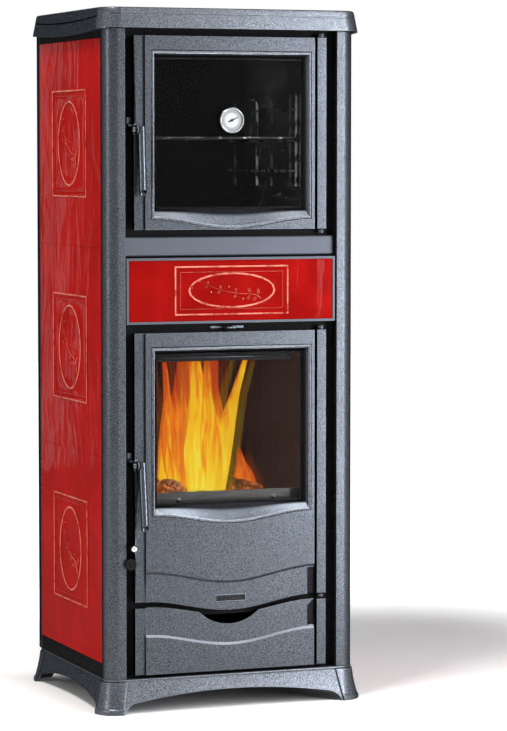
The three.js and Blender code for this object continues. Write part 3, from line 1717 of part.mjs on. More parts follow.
place(front, 'oven_rack_left', ovenRack(-1), bareSteel());
place(front, 'oven_rack_right', ovenRack(1), bareSteel());
place(front, 'oven_shelf', ovenShelf(), bareSteel());

export default stove;
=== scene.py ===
import json
import math

import bpy
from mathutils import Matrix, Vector, noise


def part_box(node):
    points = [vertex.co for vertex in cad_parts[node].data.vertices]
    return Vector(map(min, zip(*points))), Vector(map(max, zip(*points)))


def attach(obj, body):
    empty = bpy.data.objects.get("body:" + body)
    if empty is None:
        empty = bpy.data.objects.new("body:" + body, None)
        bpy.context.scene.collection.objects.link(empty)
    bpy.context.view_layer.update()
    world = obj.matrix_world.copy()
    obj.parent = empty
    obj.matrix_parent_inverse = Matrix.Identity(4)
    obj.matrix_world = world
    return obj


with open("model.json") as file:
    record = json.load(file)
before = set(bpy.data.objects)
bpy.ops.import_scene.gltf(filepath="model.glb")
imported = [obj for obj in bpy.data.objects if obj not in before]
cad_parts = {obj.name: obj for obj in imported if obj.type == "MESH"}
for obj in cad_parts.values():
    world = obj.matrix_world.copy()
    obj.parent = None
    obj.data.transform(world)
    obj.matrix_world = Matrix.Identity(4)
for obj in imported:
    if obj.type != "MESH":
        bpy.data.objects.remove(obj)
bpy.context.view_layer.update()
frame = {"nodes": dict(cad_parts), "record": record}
nodes = frame["nodes"]
print("frame loaded:", len(nodes), "CAD nodes")


# short ways to build shader trees
def addNode(tree, kind, **settings):
    node = tree.nodes.new(kind)
    for name, value in settings.items():
        setattr(node, name, value)
    return node


def link(tree, source, target):
    tree.links.new(source, target)


def newGroup(name, inputs, outputs):
    group = bpy.data.node_groups.new(name, "ShaderNodeTree")
    for socket, kind, default in inputs:
        made = group.interface.new_socket(socket, in_out="INPUT", socket_type=kind)
        made.default_value = default
    for socket, kind in outputs:
        group.interface.new_socket(socket, in_out="OUTPUT", socket_type=kind)
    return group, group.nodes.new("NodeGroupInput"), group.nodes.new("NodeGroupOutput")


def math2(tree, operation, first, second=0.0, clamp=False):
    node = addNode(tree, "ShaderNodeMath", operation=operation, use_clamp=clamp)
    for socket, value in zip(node.inputs, (first, second)):
        if isinstance(value, (int, float)):
            socket.default_value = value
        else:
            link(tree, value, socket)
    return node.outputs[0]


def times(tree, first, second):
    return math2(tree, "MULTIPLY", first, second)


def between(tree, value, low, high):
    above = math2(tree, "GREATER_THAN", value, low)
    below = math2(tree, "LESS_THAN", value, high)
    return times(tree, above, below)


def ramp(tree, factor, low, high):
    node = addNode(tree, "ShaderNodeMapRange", interpolation_type="SMOOTHSTEP")
    link(tree, factor, node.inputs["Value"])
    node.inputs["From Min"].default_value = low
    node.inputs["From Max"].default_value = high
    return node.outputs["Result"]


def spreadTo(tree, factor, low, high):
    node = addNode(tree, "ShaderNodeMapRange")
    link(tree, factor, node.inputs["Value"])
    node.inputs["To Min"].default_value, node.inputs["To Max"].default_value = low, high
    return node.outputs["Result"]


def mixColor(tree, factor, first, second):
    node = addNode(tree, "ShaderNodeMix", data_type="RGBA")
    link(tree, factor, node.inputs["Factor"])
    for socket, value in ((node.inputs["A"], first), (node.inputs["B"], second)):
        if isinstance(value, tuple):
            socket.default_value = (*value, 1.0)
        else:
            link(tree, value, socket)
    return node.outputs["Result"]


def noiseOf(tree, vector, scale, detail=2.0, roughness=0.5, distortion=0.0):
    node = addNode(tree, "ShaderNodeTexNoise")
    link(tree, vector, node.inputs["Vector"])
    settings = {"Scale": scale, "Detail": detail, "Roughness": roughness, "Distortion": distortion}
    for name, value in settings.items():
        if isinstance(value, (int, float)):
            node.inputs[name].default_value = value
        else:
            link(tree, value, node.inputs[name])
    return node.outputs["Fac"]


def stretched(tree, vector, scale):
    node = addNode(tree, "ShaderNodeMapping")
    link(tree, vector, node.inputs["Vector"])
    node.inputs["Scale"].default_value = scale
    return node.outputs["Vector"]


def split(tree, vector):
    node = addNode(tree, "ShaderNodeSeparateXYZ")
    link(tree, vector, node.inputs[0])
    return node.outputs


def bumpOf(tree, height, strength, distance, normal=None):
    node = addNode(tree, "ShaderNodeBump")
    link(tree, height, node.inputs["Height"])
    node.inputs["Strength"].default_value = strength
    node.inputs["Distance"].default_value = distance
    if normal is not None:
        link(tree, normal, node.inputs["Normal"])
    return node.outputs["Normal"]


def objectPlace(tree):
    return addNode(tree, "ShaderNodeTexCoord").outputs["Object"]


def placeGroup(tree, group, **values):
    node = addNode(tree, "ShaderNodeGroup", node_tree=group)
    for name, value in values.items():
        node.inputs[name].default_value = value
    return node


def newMaterial(name, **sockets):
    material = bpy.data.materials.new(name)
    material.use_nodes = True
    tree = material.node_tree
    shader = tree.nodes["Principled BSDF"]
    for socket, value in sockets.items():
        shader.inputs[socket.replace("_", " ")].default_value = value
    return material, tree, shader


grainLook = {"turn": (0.52, 0.71, 0.33), "grains": (0.38, 0.64), "patches": (0.3, 0.7)}


def makeGrain():
    # sandy skin of a casting or a sprayed sheet: fine grains, patches of tone and a bumpy height
    group, given, out = newGroup(
        "grain",
        [("Scale", "NodeSocketFloat", 500.0), ("Patch", "NodeSocketFloat", 14.0)],
        [("Grain", "NodeSocketFloat"), ("Patches", "NodeSocketFloat"),
         ("Height", "NodeSocketFloat")],
    )
    # turned, so that no flat face lies along the lattice of the noise
    turned = addNode(group, "ShaderNodeMapping")
    link(group, objectPlace(group), turned.inputs["Vector"])
    turned.inputs["Rotation"].default_value = grainLook["turn"]
    where = turned.outputs["Vector"]
    fine = noiseOf(group, where, given.outputs["Scale"], 3.0, 0.65)
    patch = noiseOf(group, where, given.outputs["Patch"], 3.0, 0.55)
    link(group, ramp(group, fine, *grainLook["grains"]), out.inputs["Grain"])
    link(group, ramp(group, patch, *grainLook["patches"]), out.inputs["Patches"])
    link(group, fine, out.inputs["Height"])
    return group


settleLook = {"scale": 38.0, "broken": (0.35, 0.75), "facing": (0.35, 0.95)}


def makeSettle():
    # dust and soot that settle on faces that look up
    group, given, out = newGroup(
        "settle",
        [("Amount", "NodeSocketFloat", 0.3)],
        [("Mask", "NodeSocketFloat")],
    )
    up = split(group, addNode(group, "ShaderNodeNewGeometry").outputs["Normal"])
    dust = noiseOf(group, objectPlace(group), settleLook["scale"], 5.0, 0.7)
    broken = ramp(group, dust, *settleLook["broken"])
    facing = ramp(group, up["Z"], *settleLook["facing"])
    mask = times(group, times(group, broken, facing), given.outputs["Amount"])
    link(group, mask, out.inputs["Mask"])
    return group


highlightAndShadeLook = {
    "edgeReach": 0.0013, "creviceReach": 0.006, "edge": (0.2, 0.6), "creviceShade": (0.08, 0.4),
    "scale": 210.0, "broken": (0.25, 0.6), "samples": 6,
}


def makeHighlightAndShade():
    # a painted highlight on outer edges, broken into patches, and painted shade in the corners of
    # the relief
    group, given, out = newGroup(
        "highlightAndShade",
        [("Edge Reach", "NodeSocketFloat", highlightAndShadeLook["edgeReach"]),
         ("Crevice Reach", "NodeSocketFloat", highlightAndShadeLook["creviceReach"])],
        [("Edge", "NodeSocketFloat"), ("Crevice", "NodeSocketFloat")],
    )
    settings = {"samples": highlightAndShadeLook["samples"], "only_local": True}
    within = addNode(group, "ShaderNodeAmbientOcclusion", inside=True, **settings)
    link(group, given.outputs["Edge Reach"], within.inputs["Distance"])
    around = addNode(group, "ShaderNodeAmbientOcclusion", **settings)
    link(group, given.outputs["Crevice Reach"], around.inputs["Distance"])
    edgePatches = noiseOf(group, objectPlace(group), highlightAndShadeLook["scale"], 3.0, 0.6)
    broken = ramp(group, edgePatches, *highlightAndShadeLook["broken"])
    edge = ramp(group, math2(group, "SUBTRACT", 1.0, within.outputs["AO"]), *highlightAndShadeLook["edge"])
    creviceShade = ramp(group, math2(group, "SUBTRACT", 1.0, around.outputs["AO"]), *highlightAndShadeLook["creviceShade"])
    link(group, times(group, edge, broken), out.inputs["Edge"])
    link(group, creviceShade, out.inputs["Crevice"])
    return group


grainGroup = makeGrain()
settleGroup = makeSettle()
highlightAndShadeGroup = makeHighlightAndShade()


def paintedDoorLight(tree, color, look):
    # ledges that look up get a painted highlight, and hollows set back from the door's face are
    # painted black as shade
    up = split(tree, addNode(tree, "ShaderNodeNewGeometry").outputs["Normal"])
    ledgeHighlight = times(tree, ramp(tree, up["Z"], *look["ledgeFacing"]), look["ledgeHighlight"])
    lit = mixColor(tree, ledgeHighlight, color, look["bright"])
    place = split(tree, objectPlace(tree))
    return mixColor(tree, ramp(tree, place["Y"], *look["hollow"]), lit, look["pitShade"])


def paintedCasting(name, look):
    material, tree, shader = newMaterial(name, Metallic=look["metallic"])
    shader.inputs["Specular IOR Level"].default_value = look["specular"]
    shader.inputs["Specular Tint"].default_value = (*look["tint"], 1.0)
    grain = placeGroup(tree, grainGroup, Scale=look["grain"], Patch=look["patch"])
    settle = placeGroup(tree, settleGroup, Amount=look["settle"])
    highlightAndShade = placeGroup(tree, highlightAndShadeGroup)
    speckled = mixColor(tree, grain.outputs["Grain"], look["dark"], look["light"])
    patches = times(tree, grain.outputs["Patches"], look["toning"])
    toned = mixColor(tree, patches, speckled, look["tone"])
    dusty = mixColor(tree, settle.outputs["Mask"], toned, look["dust"])
    # painted shade in the crevices and corners of the relief, then a painted highlight on the outer
    # edges
    creviceShade = times(tree, highlightAndShade.outputs["Crevice"], look["creviceShade"])
    shaded = mixColor(tree, creviceShade, dusty, look["shade"])
    edge = times(tree, highlightAndShade.outputs["Edge"], look["edge"])
    color = mixColor(tree, edge, shaded, look["bright"])
    if "hollow" in look:
        color = paintedDoorLight(tree, color, look)
    link(tree, color, shader.inputs["Base Color"])
    rough = math2(tree, "MULTIPLY_ADD", grain.outputs["Patches"], look["roughening"])
    rough.node.inputs[2].default_value = look["roughness"]
    link(tree, rough, shader.inputs["Roughness"])
    bumped = bumpOf(tree, grain.outputs["Height"], look["bump"], look["depth"])
    link(tree, bumped, shader.inputs["Normal"])
    return material


# nearly metallic, as the paint's flakes are; the tint keeps the pale surroundings off faces seen
# at a slant
castLook = {
    "metallic": 0.92, "specular": 0.0, "tint": (0.2, 0.2, 0.2),
    "grain": 700.0, "patch": 9.0, "settle": 0.12,
    "dark": (0.013, 0.0145, 0.017), "light": (0.095, 0.104, 0.118),
    "tone": (0.048, 0.052, 0.060), "toning": 0.3,
    "dust": (0.13, 0.135, 0.14), "shade": (0.008, 0.008, 0.009),
    "roughness": 0.33, "roughening": 0.06, "bump": 0.35, "depth": 0.0002,
    # the crevice values set the painted shade in crevices, and edge and bright the painted
    # highlight on outer edges, here and in the looks below
    "creviceShade": 0.92, "edge": 0.5, "bright": (0.28, 0.30, 0.33),
}
# the door castings: a stronger painted edge highlight, a painted highlight on ledges that look up,
# and painted black shade in hollows set back from the face
doorLook = {
    **castLook,
    "dark": (0.012, 0.014, 0.0165), "light": (0.090, 0.098, 0.112), "tone": (0.045, 0.049, 0.056),
    "edge": 0.9, "bright": (0.36, 0.385, 0.43), "ledgeHighlight": 0.2, "ledgeFacing": (0.25, 0.5),
    "hollow": (-0.2048, -0.2022), "pitShade": (0.006, 0.006, 0.007),
}
# a lighter copy of the casting for the top plate and the base, painted light for their fronts that
# turn up towards the light
litCastLook = {
    **castLook,
    "dark": (0.018, 0.020, 0.024), "light": (0.158, 0.170, 0.192), "tone": (0.078, 0.085, 0.096),
    "edge": 0.8,
}
rearLook = {
    **castLook,
    "metallic": 0.0, "specular": 0.35, "tint": (1.0, 1.0, 1.0),
    "dark": (0.022, 0.022, 0.024), "light": (0.042, 0.042, 0.045), "tone": (0.030, 0.030, 0.031),
    "roughness": 0.42,
}
barLook = {
    "metallic": 0.4, "specular": 0.0, "tint": (0.1, 0.1, 0.1),
    "grain": 1500.0, "patch": 5.0, "settle": 0.1,
    "dark": (0.063, 0.068, 0.082), "light": (0.084, 0.090, 0.106),
    "tone": (0.072, 0.077, 0.091), "toning": 0.4,
    "dust": (0.16, 0.17, 0.18), "shade": (0.008, 0.008, 0.009),
    "roughness": 0.45, "roughening": 0.06, "bump": 0.12, "depth": 0.0002,
    "creviceShade": 0.5, "edge": 0.4, "bright": (0.30, 0.31, 0.34),
}
sheetLook = {
    "metallic": 0.0, "specular": 0.0, "tint": (1.0, 1.0, 1.0),
    "grain": 1300.0, "patch": 7.0, "settle": 0.1,
    "dark": (0.010, 0.010, 0.011), "light": (0.020, 0.020, 0.021),
    "tone": (0.014, 0.013, 0.012), "toning": 0.5,
    "dust": (0.05, 0.048, 0.045), "shade": (0.008, 0.008, 0.009),
    "roughness": 0.5, "roughening": 0.06, "bump": 0.15, "depth": 0.0002,
    "creviceShade": 0.3, "edge": 0.3, "bright": (0.06, 0.06, 0.062),
}
brownLook = {
    "metallic": 0.15, "specular": 0.3, "tint": (1.0, 1.0, 1.0),
    "grain": 420.0, "patch": 16.0, "settle": 0.5,
    "dark": (0.060, 0.025, 0.019), "light": (0.160, 0.070, 0.054),
    "tone": (0.075, 0.034, 0.027), "toning": 0.6,
    "dust": (0.16, 0.14, 0.12), "shade": (0.008, 0.008, 0.009),
    "roughness": 0.7, "roughening": 0.06, "bump": 0.6, "depth": 0.0009,
    "creviceShade": 0.7, "edge": 0.3, "bright": (0.17, 0.09, 0.07),
}
castGrey = paintedCasting("castGrey", castLook)
doorGrey = paintedCasting("doorGrey", doorLook)
litCastGrey = paintedCasting("litCastGrey", litCastLook)
rearBlack = paintedCasting("rearBlack", rearLook)
barGrey = paintedCasting("barGrey", barLook)
sheetBlack = paintedCasting("sheetBlack", sheetLook)
castBrown = paintedCasting("castBrown", brownLook)


def scratchedAndGlintingSteel(name, look):
    # fine scratches that run along the bar; on the shelf and the racks the sparse light spots are
    # painted glints
    material, tree, shader = newMaterial(name, Metallic=1.0)
    along = stretched(tree, objectPlace(tree), look["stretch"])
    scratchAndGlint = ramp(tree, noiseOf(tree, along, look["scale"], 4.0, 0.6), *look["spread"])
    highlightAndShade = placeGroup(tree, highlightAndShadeGroup)
    scratchAndGlintColor = mixColor(tree, scratchAndGlint, look["dark"], look["light"])
    # painted shade in crevices
    creviceShade = times(tree, highlightAndShade.outputs["Crevice"], look["creviceShade"])
    link(tree, mixColor(tree, creviceShade, scratchAndGlintColor, look["shade"]), shader.inputs["Base Color"])
    link(tree, spreadTo(tree, scratchAndGlint, *look["roughness"]), shader.inputs["Roughness"])
    link(tree, bumpOf(tree, scratchAndGlint, look["bump"], look["depth"]), shader.inputs["Normal"])
    return material


steelLook = {
    "stretch": (1.0, 1.0, 0.06), "scale": 900.0, "spread": (0.1, 0.9),
    "dark": (0.060, 0.069, 0.083), "light": (0.15, 0.168, 0.196),
    "shade": (0.004, 0.004, 0.004), "creviceShade": 1.0,
    "roughness": (0.22, 0.32), "bump": 0.2, "depth": 0.0002,
}
bareSteel = scratchedAndGlintingSteel("bareSteel", steelLook)
handleSteel = scratchedAndGlintingSteel("handleSteel", {
    **steelLook, "dark": (0.034, 0.039, 0.047), "light": (0.092, 0.103, 0.120),
    "roughness": (0.20, 0.30),
})
guardSteel = scratchedAndGlintingSteel("guardSteel", {
    **steelLook, "stretch": (0.06, 1.0, 1.0),
    "dark": (0.020, 0.019, 0.018), "light": (0.055, 0.053, 0.050),
    "roughness": (0.30, 0.42), "creviceShade": 0.6,
})
# sparse bright spots on a near-black wire, painted glints
shelfSteel = scratchedAndGlintingSteel("shelfSteel", {
    **steelLook, "stretch": (1.0, 0.3, 1.0), "scale": 95.0, "spread": (0.56, 0.68),
    "dark": (0.022, 0.021, 0.020), "light": (0.55, 0.55, 0.54),
    "roughness": (0.22, 0.34), "bump": 0.1, "creviceShade": 0.4,
})
# bright stretches on a near-black wire, painted glints
rackSteel = scratchedAndGlintingSteel("rackSteel", {
    **steelLook, "stretch": (1.0, 1.0, 0.6), "scale": 40.0, "spread": (0.44, 0.56),
    "dark": (0.020, 0.020, 0.020), "light": (0.92, 0.92, 0.91),
    "roughness": (0.26, 0.40), "bump": 0.1, "creviceShade": 0.3,
})
chromePlate = scratchedAndGlintingSteel("chromePlate", {
    **steelLook, "stretch": (1.0, 1.0, 1.0), "scale": 260.0,
    "dark": (0.38, 0.39, 0.41), "light": (0.50, 0.51, 0.53),
    "roughness": (0.05, 0.10), "bump": 0.04, "creviceShade": 0.8,
})

# where the flat faces of the tiles lie; beyond "corner" on either side a point is on a side tile
tileFaces = {"side": 0.2415, "front": -0.2062, "corner": 0.225}


def redGlaze(name, deep, bright):
    look = {
        "deep": deep, "bright": bright, "poolScale": 11.0, "pool": (0.3, 0.72),
        "thin": (0.92, 0.38, 0.26), "thinGlazeAndHighlightShare": 0.5, "ridge": (0.0007, 0.0016),
        "patchyRidgeScale": 60.0, "patchyRidge": (0.25, 0.6),
        "ripple": 0.10, "rippleDepth": 0.012, "rippleStretch": (14.0, 14.0, 5.0),
        "streak": 0.10, "streakDepth": 0.0022, "streakStretch": (60.0, 46.0, 11.0),
    }
    material, tree, shader = newMaterial(
        name, IOR=1.45, Roughness=0.12, Coat_Weight=0.045, Coat_Roughness=0.05)
    shader.inputs["Specular IOR Level"].default_value = 0.0
    where = objectPlace(tree)
    pool = ramp(tree, noiseOf(tree, where, look["poolScale"], 3.0, 0.55, 0.6), *look["pool"])
    glaze = mixColor(tree, pool, look["deep"], look["bright"])
    # the glaze runs thin on ridges that stand out of the tile's face, and these ridges get a pale
    # painted highlight as well
    place = split(tree, where)
    beside = math2(tree, "ABSOLUTE", place["X"])
    onSide = math2(tree, "GREATER_THAN", beside, tileFaces["corner"])
    onFront = math2(tree, "SUBTRACT", 1.0, onSide)
    sideHeight = math2(tree, "SUBTRACT", beside, tileFaces["side"])
    frontHeight = math2(tree, "SUBTRACT", tileFaces["front"], place["Y"])
    height = math2(tree, "ADD", times(tree, sideHeight, onSide), times(tree, frontHeight, onFront))
    broken = ramp(tree, noiseOf(tree, where, look["patchyRidgeScale"], 3.0, 0.6), *look["patchyRidge"])
    patchyRidge = times(tree, ramp(tree, height, *look["ridge"]), broken)
    thinnedAndHighlighted = mixColor(tree, times(tree, patchyRidge, look["thinGlazeAndHighlightShare"]), glaze, look["thin"])
    link(tree, thinnedAndHighlighted, shader.inputs["Base Color"])
    broad = noiseOf(tree, stretched(tree, where, look["rippleStretch"]), 1.0, 2.0, 0.5, 0.9)
    streak = noiseOf(tree, stretched(tree, where, look["streakStretch"]), 1.0, 3.0, 0.55, 1.2)
    wave = bumpOf(tree, broad, look["ripple"], look["rippleDepth"])
    rippled = bumpOf(tree, streak, look["streak"], look["streakDepth"], wave)
    link(tree, rippled, shader.inputs["Normal"])
    link(tree, rippled, shader.inputs["Coat Normal"])
    return material


def doorGlass():
    look = {
        "clean": (0.30, 0.30, 0.30), "smeared": (0.22, 0.215, 0.21), "film": (0.16, 0.24),
        "stretch": (6.0, 6.0, 3.0), "smears": (0.4, 0.8),
    }
    material, tree, shader = newMaterial(
        "doorGlass", Roughness=0.02, IOR=1.35, Transmission_Weight=1.0, Metallic=0.0)
    streaks = noiseOf(tree, stretched(tree, objectPlace(tree), look["stretch"]), 1.0, 4.0, 0.6)
    smear = ramp(tree, streaks, *look["smears"])
    link(tree, mixColor(tree, smear, look["clean"], look["smeared"]), shader.inputs["Base Color"])
    link(tree, spreadTo(tree, smear, *look["film"]), shader.inputs["Alpha"])
    return material


def ropeCord():
    look = {
        "gap": (0.035, 0.035, 0.034), "strand": (0.15, 0.15, 0.145), "scale": 170.0, "twist": 3.0,
        "bump": 0.8, "depth": 0.001,
    }
    material, tree, shader = newMaterial("ropeCord", Roughness=0.95)
    braid = addNode(tree, "ShaderNodeTexWave", bands_direction="DIAGONAL")
    link(tree, objectPlace(tree), braid.inputs["Vector"])
    braid.inputs["Scale"].default_value = look["scale"]
    braid.inputs["Distortion"].default_value = look["twist"]
    strand = braid.outputs["Fac"]
    link(tree, mixColor(tree, strand, look["gap"], look["strand"]), shader.inputs["Base Color"])
    link(tree, bumpOf(tree, strand, look["bump"], look["depth"]), shader.inputs["Normal"])
    return material


sideGlaze = redGlaze("sideGlaze", (0.31, 0.003, 0.002), (0.39, 0.005, 0.004))
# the front tile's glaze is a darker copy of the side glaze, painted shade that evens out the
# stronger light falling on the front
frontShadedGlaze = redGlaze("frontShadedGlaze", (0.19, 0.0026, 0.002), (0.25, 0.0042, 0.0034))
finishes = {
    "cast_grey": castGrey, "bar_grey": barGrey, "sheet_black": sheetBlack,
    "red_glaze": sideGlaze, "bare_steel": bareSteel, "chrome": chromePlate,
    "cast_brown": castBrown, "seal_rope": ropeCord(), "door_glass": doorGlass(),
}
print("finishes made")

# pieces whose finish or rounding differs from that of their slot
ownFinish = {
    "front_tile": frontShadedGlaze, "log_guard": guardSteel, "oven_shelf": shelfSteel,
    "back_panel": rearBlack, "oven_rack_left": rackSteel, "oven_rack_right": rackSteel,
    "oven_handle": handleSteel, "firebox_handle": handleSteel,
    # the top plate and base take the lighter copy of the casting, painted light
    "top_plate": litCastGrey, "base_frame": litCastGrey,
    "oven_door_frame": doorGrey, "firebox_door_frame": doorGrey, "ash_drawer_front": doorGrey,
}
ownRounding = {
    "oven_door_frame": 0.0007, "firebox_door_frame": 0.0007, "ash_drawer_front": 0.0007,
    "base_frame": 0.0012, "top_plate": 0.0007, "log_guard": 0.0007,
}
# width and segments of each slot's rounded edges; the slots left out keep sharp ones
roundings = {
    "cast_grey": (0.0009, 2), "bar_grey": (0.0006, 2), "sheet_black": (0.0004, 1),
    "bare_steel": (0.0004, 1), "chrome": (0.0004, 2), "cast_brown": (0.0008, 1),
}
edgeRule = {
    "weld": 0.00001, "flatAngle": 0.5, "roundAngle": 32, "creaseAngle": 34, "glazeCreaseAngle": 64,
    "faceWeight": 100,
}


def dress(node, slotName):
    piece = nodes[node]
    piece.data.materials.clear()
    piece.data.materials.append(ownFinish.get(node, finishes[slotName]))
    weld = piece.modifiers.new("weld", "WELD")
    weld.merge_threshold = edgeRule["weld"]
    if slotName in roundings:
        flat = piece.modifiers.new("flat", "DECIMATE")
        flat.decimate_type = "DISSOLVE"
        flat.angle_limit = math.radians(edgeRule["flatAngle"])
        width, segments = roundings[slotName]
        rounding = piece.modifiers.new("rounding", "BEVEL")
        rounding.width = ownRounding.get(node, width)
        rounding.segments = segments
        rounding.limit_method = "ANGLE"
        rounding.angle_limit = math.radians(edgeRule["roundAngle"])
        rounding.use_clamp_overlap = node not in ownRounding
        rounding.harden_normals = False
    piece.data.shade_smooth()
    smooth = piece.modifiers.new("smooth", "EDGE_SPLIT")
    crease = "glazeCreaseAngle" if slotName == "red_glaze" else "creaseAngle"
    smooth.split_angle = math.radians(edgeRule[crease])
    level = piece.modifiers.new("level", "WEIGHTED_NORMAL")
    level.weight, level.keep_sharp = edgeRule["faceWeight"], True


for row in frame["record"]["subparts"]:
    dress(row["node"], row["material_slot"])
print("CAD nodes dressed")


# ways to make the meshes that have no CAD node
def meshObject(name, vertices, faces, material, smooth=True):
    mesh = bpy.data.meshes.new(name)
    mesh.from_pydata([tuple(v) for v in vertices], [], faces)
    mesh.materials.append(material)
    if smooth:
        mesh.shade_smooth()
    made = bpy.data.objects.new(name, mesh)
    bpy.context.scene.collection.objects.link(made)
    return made


def addMesh(name, vertices, faces, material, body, slotName=None, smooth=True):
    made = meshObject(name, vertices, faces, material, smooth)
    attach(made, body)
    return made


def loft(rings, capped=True):
    count = len(rings[0])
    vertices = [point for ring in rings for point in ring]
    faces = []
    for row in range(len(rings) - 1):
        low, high = row * count, (row + 1) * count
        for step in range(count):
            after = (step + 1) % count
            faces.append((low + step, low + after, high + after, high + step))
    if capped:
        faces.append(tuple(reversed(range(count))))
        faces.append(tuple(range((len(rings) - 1) * count, len(rings) * count)))
    return vertices, faces


def tubeAlong(points, radii, around=8):
    rings = []
    for index, point in enumerate(points):
        before = points[max(index - 1, 0)]
        after = points[min(index + 1, len(points) - 1)]
        turn = (after - before).normalized().to_track_quat("Z", "Y")
        radius = radii[index]
        ring = []
        for step in range(around):
            angle = 2 * math.pi * step / around
            offset = Vector((radius * math.cos(angle), radius * math.sin(angle), 0))
            ring.append(point + turn @ offset)
        rings.append(ring)
    return loft(rings)


def joinParts(parts):
    vertices, faces = [], []
    for partVertices, partFaces in parts:
        start = len(vertices)
        vertices.extend(partVertices)
        faces.extend(tuple(start + index for index in face) for face in partFaces)
    return vertices, faces


# a leafy sprig in the oval of every tile, in tile axes: across, up, height over the face; both
# sizes, the step, the sink, the rises and the least half width are in metres, the turn in radians,
# a leaf's width and bend are shares of its length, its furrow of its rise, and the rest are shares
# of the sprig
sprigLook = {
    "sideSize": (0.104, 0.128), "frontSize": (0.142, 0.05), "frontStep": 0.0017, "sink": 0.0002,
    "stem": 0.014, "stemTaper": 0.007, "stemRise": 0.0003,
    "leaves": (0.14, 0.3, 0.46, 0.62, 0.78), "leafTurn": 0.85,
    "leafLength": 0.235, "leafShrink": 0.025, "leafWidth": 0.42, "leafBend": 0.12,
    "leafRise": 0.0015, "leastHalfWidth": 0.00008, "furrow": 0.42, "furrowSharpness": 5,
    "tipLength": 0.12, "tipWidth": 0.07,
    "berries": ((0.38, 1), (0.54, -1), (0.7, 1), (0.9, -1)), "berryOff": 0.11, "berryAhead": 0.02,
    "berryRadius": 0.026, "berryRise": 0.0017, "stalk": 0.005, "stalkRise": 0.0002,
}


def leafMound(foot, tip, width, height, bend=0.0):
    # an almond-shaped mound with a furrow along its middle
    steps, across = 10, 6
    spine = tip - foot
    normal = Vector((-spine.y, spine.x)).normalized()
    rows = []
    for step in range(steps + 1):
        share = step / steps
        swell = math.sin(math.pi * share)
        middle = foot + spine * share + normal * bend * swell
        half = width * math.sin(math.pi * share ** 0.8) * 0.5 + sprigLook["leastHalfWidth"]
        row = []
        for index in range(across + 1):
            side = index / across * 2 - 1
            rise = 0
            if abs(side) < 1:
                lengthwise = math.sin(math.pi * min(share + 0.08, 1)) ** 0.5
                rise = height * (1 - side * side) ** 0.5 * lengthwise
            furrow = math.exp(-(side * sprigLook["furrowSharpness"]) ** 2)
            rise -= height * sprigLook["furrow"] * furrow * swell
            point = middle + normal * half * side
            row.append(Vector((point.x, point.y, rise - sprigLook["sink"])))
        rows.append(row)
    vertices = [point for row in rows for point in row]
    count = across + 1
    faces = [(r * count + c, r * count + c + 1, (r + 1) * count + c + 1, (r + 1) * count + c)
             for r in range(steps) for c in range(across)]
    return vertices, faces


def dome(centre, radius, height):
    rings, around = 4, 12
    vertices = [Vector((centre.x, centre.y, height))]
    for ring in range(1, rings + 1):
        angle = math.pi / 2 * ring / rings
        reach = radius * math.sin(angle)
        rise = height * math.cos(angle) - sprigLook["sink"]
        for step in range(around):
            turn = 2 * math.pi * step / around
            across, up = centre.x + reach * math.cos(turn), centre.y + reach * math.sin(turn)
            vertices.append(Vector((across, up, rise)))
    faces = [(0, 1 + step, 1 + (step + 1) % around) for step in range(around)]
    for ring in range(rings - 1):
        first, second = 1 + ring * around, 1 + (ring + 1) * around
        faces += [(first + s, second + s, second + (s + 1) % around, first + (s + 1) % around)
                  for s in range(around)]
    return vertices, faces


def sprig(width, height):
    # a branch that climbs from the lower right to the upper left, with leaves in pairs and berries
    def at(share):
        return Vector((width * (0.40 - 0.80 * share + 0.10 * math.sin(share * 6.0)),
                       height * (-0.34 + 0.66 * share ** 1.15 + 0.05 * math.sin(share * 9.0))))

    def ahead(share):
        return (at(share + 0.05) - at(share)).normalized()

    look = sprigLook
    size = (width * height) ** 0.5
    steps = 18
    stem = [Vector((*at(step / steps), look["stemRise"])) for step in range(steps + 1)]
    radii = [size * (look["stem"] - look["stemTaper"] * step / steps) for step in range(steps + 1)]
    parts = [tubeAlong(stem, radii, 6)]
    for number, share in enumerate(look["leaves"]):
        foot, along = at(share), ahead(share)
        length = size * (look["leafLength"] - look["leafShrink"] * number)
        for side in (-1, 1):
            cosine, sine = math.cos(look["leafTurn"] * side), math.sin(look["leafTurn"] * side)
            turned = Vector((along.x * cosine - along.y * sine, along.x * sine + along.y * cosine))
            parts.append(leafMound(foot, foot + turned * length, length * look["leafWidth"],
                                   look["leafRise"], side * length * look["leafBend"]))
    tip, below = at(1.0), at(0.93)
    last = tip + (tip - below).normalized() * size * look["tipLength"]
    parts.append(leafMound(below, last, size * look["tipWidth"], look["leafRise"]))
    for share, side in look["berries"]:
        foot, along = at(share), ahead(share)
        across = Vector((-along.y, along.x)) * side
        berry = foot + across * size * look["berryOff"] + along * size * look["berryAhead"]
        stalk = [Vector((*end, look["stalkRise"])) for end in (foot, berry)]
        parts.append(tubeAlong(stalk, [size * look["stalk"]] * 2, 5))
        parts.append(dome(berry, size * look["berryRadius"], look["berryRise"]))
    return joinParts(parts)


